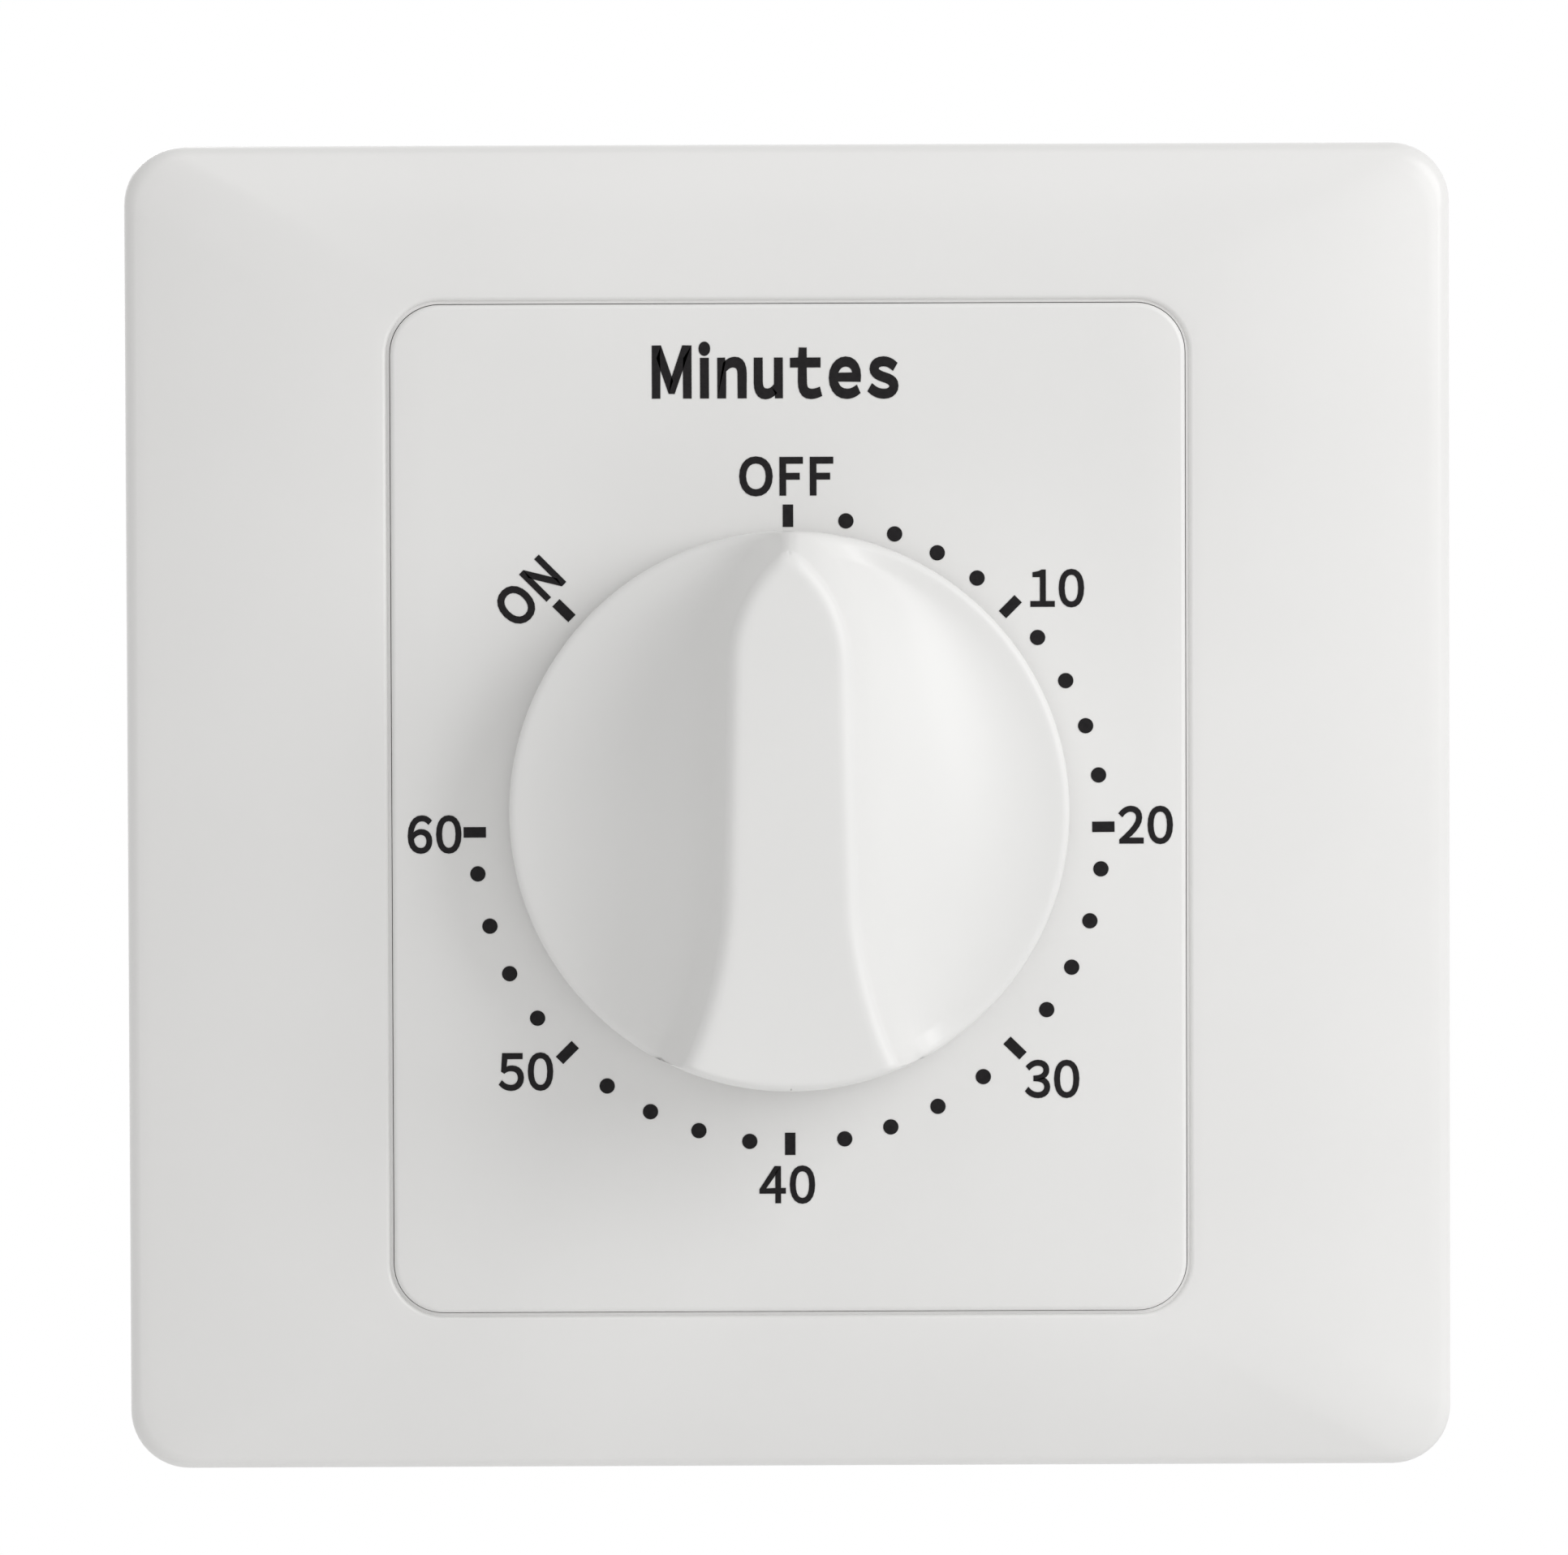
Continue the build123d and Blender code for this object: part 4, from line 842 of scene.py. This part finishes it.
def makeCover(s):
    wide, high, wall, roll = s["halfWide"], s["halfHigh"], s["wall"], s["edgeRoll"]
    loops = [roundedLoop(wide, high, s["corner"], 0.0)]
    for step in range(s["rollSteps"] + 1):
        turn = math.pi / 2 * step / s["rollSteps"]
        inset = roll * (1 - math.cos(turn))
        depth = s["depth"] - roll + roll * math.sin(turn)
        loops.append(roundedLoop(wide - inset, high - inset, s["corner"] - inset * s["cornerShare"], depth))
    shell = addObject("coverShell", meshFrom("coverShell", *cappedSkin(loops)))
    tools = []

    def addTool(operation, outline, low, high):
        tools.append((operation, addObject("coverTool", meshFrom("coverTool", *prism(outline, low, high)))))

    radius = s["earRadius"]
    for x, z in s["ears"]:
        way = math.copysign(1, z)
        root = z - way * (radius + s["earRoot"])
        start = 0 if way > 0 else 180
        tipArc = arcAround(x, z, radius, start, start + 180, s["earSteps"])
        addTool("UNION", [(x + way * radius, root)] + tipArc + [(x - way * radius, root)], 0.0, s["earThick"])
        addTool("DIFFERENCE", circleAround(x, z, s["earHole"]), -s["past"], s["earThick"] + s["past"])
    hollow = roundedLoop(wide - wall, high - wall, s["corner"] - s["innerCorner"], 0)
    addTool("DIFFERENCE", [(x, z) for x, _, z in hollow], -s["past"], s["depth"] - wall)
    (x0, y0, z0), (x1, y1, z1) = s["cut"]
    r, steps = s["cutRound"], s["cutSteps"]
    mouth = [(x0, z0), (x1, z0)] + arcAround(x1 - r, z1 - r, r, 0, 90, steps)
    mouth += arcAround(x0 + r, z1 - r, r, 90, 180, steps)
    addTool("DIFFERENCE", mouth, y0, y1)
    for operation, tool in tools:
        carve = shell.modifiers.new("carve", "BOOLEAN")
        carve.operation = operation
        carve.solver = "EXACT"
        carve.object = tool
    bpy.context.view_layer.update()
    finished = bpy.data.meshes.new_from_object(shell.evaluated_get(bpy.context.evaluated_depsgraph_get()))
    for _, tool in tools:
        bpy.data.objects.remove(tool)
    bpy.data.objects.remove(shell)
    points = [tuple(v.co / mm) for v in finished.vertices]
    faces = [tuple(face.vertices) for face in finished.polygons]
    return newPiece("clearCover", points, faces, finishes["cover_clear"], "case", 35)


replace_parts(makeCover(cover), "rear_cover")
print("cover made")

# Moving contact

leaf = {
    "thick": 0.25, "front": 17.6, "back": 20.2, "bend": 0.9, "bendShare": 0.4, "bendSteps": 8,
    "line": (
        (-10.0, -19.075), (-13.0, -19.075), (-13.0, -9.4), (-2.3, -9.4), (0.0, -7.35), (2.3, -9.4),
        (9.6, -9.4),
    ),
}


def easedLine(s):
    # Each corner becomes a short bend
    line = [np.array(p) for p in s["line"]]
    eased = [line[0]]
    for before, corner, after in zip(line, line[1:], line[2:]):
        ends = []
        for away in (before - corner, after - corner):
            length = np.hypot(*away)
            ends.append(corner + away / length * min(s["bend"], length * s["bendShare"]))
        for step in range(s["bendSteps"] + 1):
            t = step / s["bendSteps"]
            eased.append((1 - t) ** 2 * ends[0] + 2 * t * (1 - t) * corner + t**2 * ends[1])
    return eased + [line[-1]]


def makeLeaf(s):
    # The follower stands just off the cam's round, so the leaf stays clear of it at every turn
    line = easedLine(s)
    front, back = s["front"], s["back"]
    loops = []
    for k, point in enumerate(line):
        along = line[min(k + 1, len(line) - 1)] - line[max(k - 1, 0)]
        aside = np.array([-along[1], along[0]]) / np.hypot(*along) * s["thick"] / 2
        (x0, z0), (x1, z1) = point + aside, point - aside
        loops.append([(x0, front, z0), (x0, back, z0), (x1, back, z1), (x1, front, z1)])
    points, faces = cappedSkin(loops)
    return newPiece("contactLeaf", points, faces, finishes["brass"], "case", 40)


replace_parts(makeLeaf(leaf), "contact_leaf")
print("contact made")

# Camera, lights and surroundings

view = {
    "distance": 0.7, "turn": 0.246, "rise": 2.206, "roll": 0.2055, "pixelsAcross": 13322.6, "sensor": 36,
    "target": (0, -0.009, 0), "middle": (972.19, 996.22), "frame": (1932, 1916),
}


def makeCamera(s):
    camera = addObject("camera", bpy.data.cameras.new("camera"))
    turn, rise, roll = (math.radians(s[k]) for k in ("turn", "rise", "roll"))
    forward = np.array([math.sin(turn) * math.cos(rise), math.cos(turn) * math.cos(rise), -math.sin(rise)])
    right = np.array([math.cos(turn), -math.sin(turn), 0])
    up = np.cross(right, forward)
    right, up = right * math.cos(roll) - up * math.sin(roll), right * math.sin(roll) + up * math.cos(roll)
    place = np.array(s["target"]) - forward * s["distance"]
    rows = [[right[k], up[k], -forward[k], place[k]] for k in range(3)]
    camera.matrix_world = Matrix(rows + [[0, 0, 0, 1]])
    across, down = s["frame"]
    camera.data.sensor_width = s["sensor"]
    camera.data.sensor_fit = "HORIZONTAL"
    camera.data.lens = s["pixelsAcross"] / across * s["sensor"]
    camera.data.shift_x = (across / 2 - s["middle"][0]) / across
    camera.data.shift_y = (s["middle"][1] - down / 2) / across
    bpy.context.scene.camera = camera


makeCamera(view)

lamps = {
    "key": {"place": (0.42, -0.33, 0.22), "size": 0.45, "power": 1.38},
    "fill": {"place": (-0.50, -0.75, 0.05), "size": 0.60, "power": 0.12},
    "top": {"place": (-0.05, -0.40, 0.60), "size": 0.50, "power": 0.4},
    "back": {"place": (-0.30, 0.70, 0.45), "size": 0.40, "power": 2.5},
}


def makeLamp(name, s):
    lamp = addObject(name + "Lamp", bpy.data.lights.new(name + "Lamp", "AREA"))
    lamp.data.shape = "DISK"
    lamp.data.size = s["size"]
    lamp.data.energy = s["power"]
    lamp.location = s["place"]
    lamp.rotation_euler = (-Vector(s["place"])).to_track_quat("-Z", "Y").to_euler()


for name, values in lamps.items():
    makeLamp(name, values)

room = {
    "light": 0.495, "lightColour": (1.0, 0.995, 0.985), "floorSide": 0.34, "floorLevel": -0.11,
    "floorColour": (0.9, 0.9, 0.9), "floorRoughness": 0.8,
}


def makeWorld(s):
    world = bpy.data.worlds.new("room")
    bpy.context.scene.world = world
    world.use_nodes = True
    nodes, links = world.node_tree.nodes, world.node_tree.links
    nodes.clear()
    out = nodes.new("ShaderNodeOutputWorld")
    mix = nodes.new("ShaderNodeMixShader")
    path = nodes.new("ShaderNodeLightPath")
    seen = nodes.new("ShaderNodeBackground")
    seen.inputs["Color"].default_value = (1, 1, 1, 1)
    seen.inputs["Strength"].default_value = 1
    lit = nodes.new("ShaderNodeBackground")
    lit.inputs["Color"].default_value = (*s["lightColour"], 1)
    lit.inputs["Strength"].default_value = s["light"]
    either = nodes.new("ShaderNodeMath")
    either.operation = "MAXIMUM"
    both = nodes.new("ShaderNodeMath")
    both.operation = "MAXIMUM"
    links.new(path.outputs["Is Camera Ray"], either.inputs[0])
    links.new(path.outputs["Is Glossy Ray"], either.inputs[1])
    links.new(either.outputs[0], both.inputs[0])
    links.new(path.outputs["Is Transmission Ray"], both.inputs[1])
    links.new(both.outputs[0], mix.inputs["Fac"])
    links.new(lit.outputs[0], mix.inputs[1])
    links.new(seen.outputs[0], mix.inputs[2])
    links.new(mix.outputs[0], out.inputs["Surface"])


makeWorld(room)


def makeFloor(s):
    # A pale floor well under the switch, out of the front view
    finish, *_ = newFinish("floorPale", s["floorColour"], s["floorRoughness"])
    side, level = s["floorSide"], s["floorLevel"]
    corners = [(-side, -side, level), (side, -side, level), (side, side, level), (-side, side, level)]
    mesh = bpy.data.meshes.new("floor")
    mesh.from_pydata(corners, [], [(0, 1, 2, 3)])
    mesh.materials.append(finish)
    floor = addObject("floor", mesh)


makeFloor(room)
bpy.context.scene.view_settings.view_transform = "Standard"
print("camera and lights set")
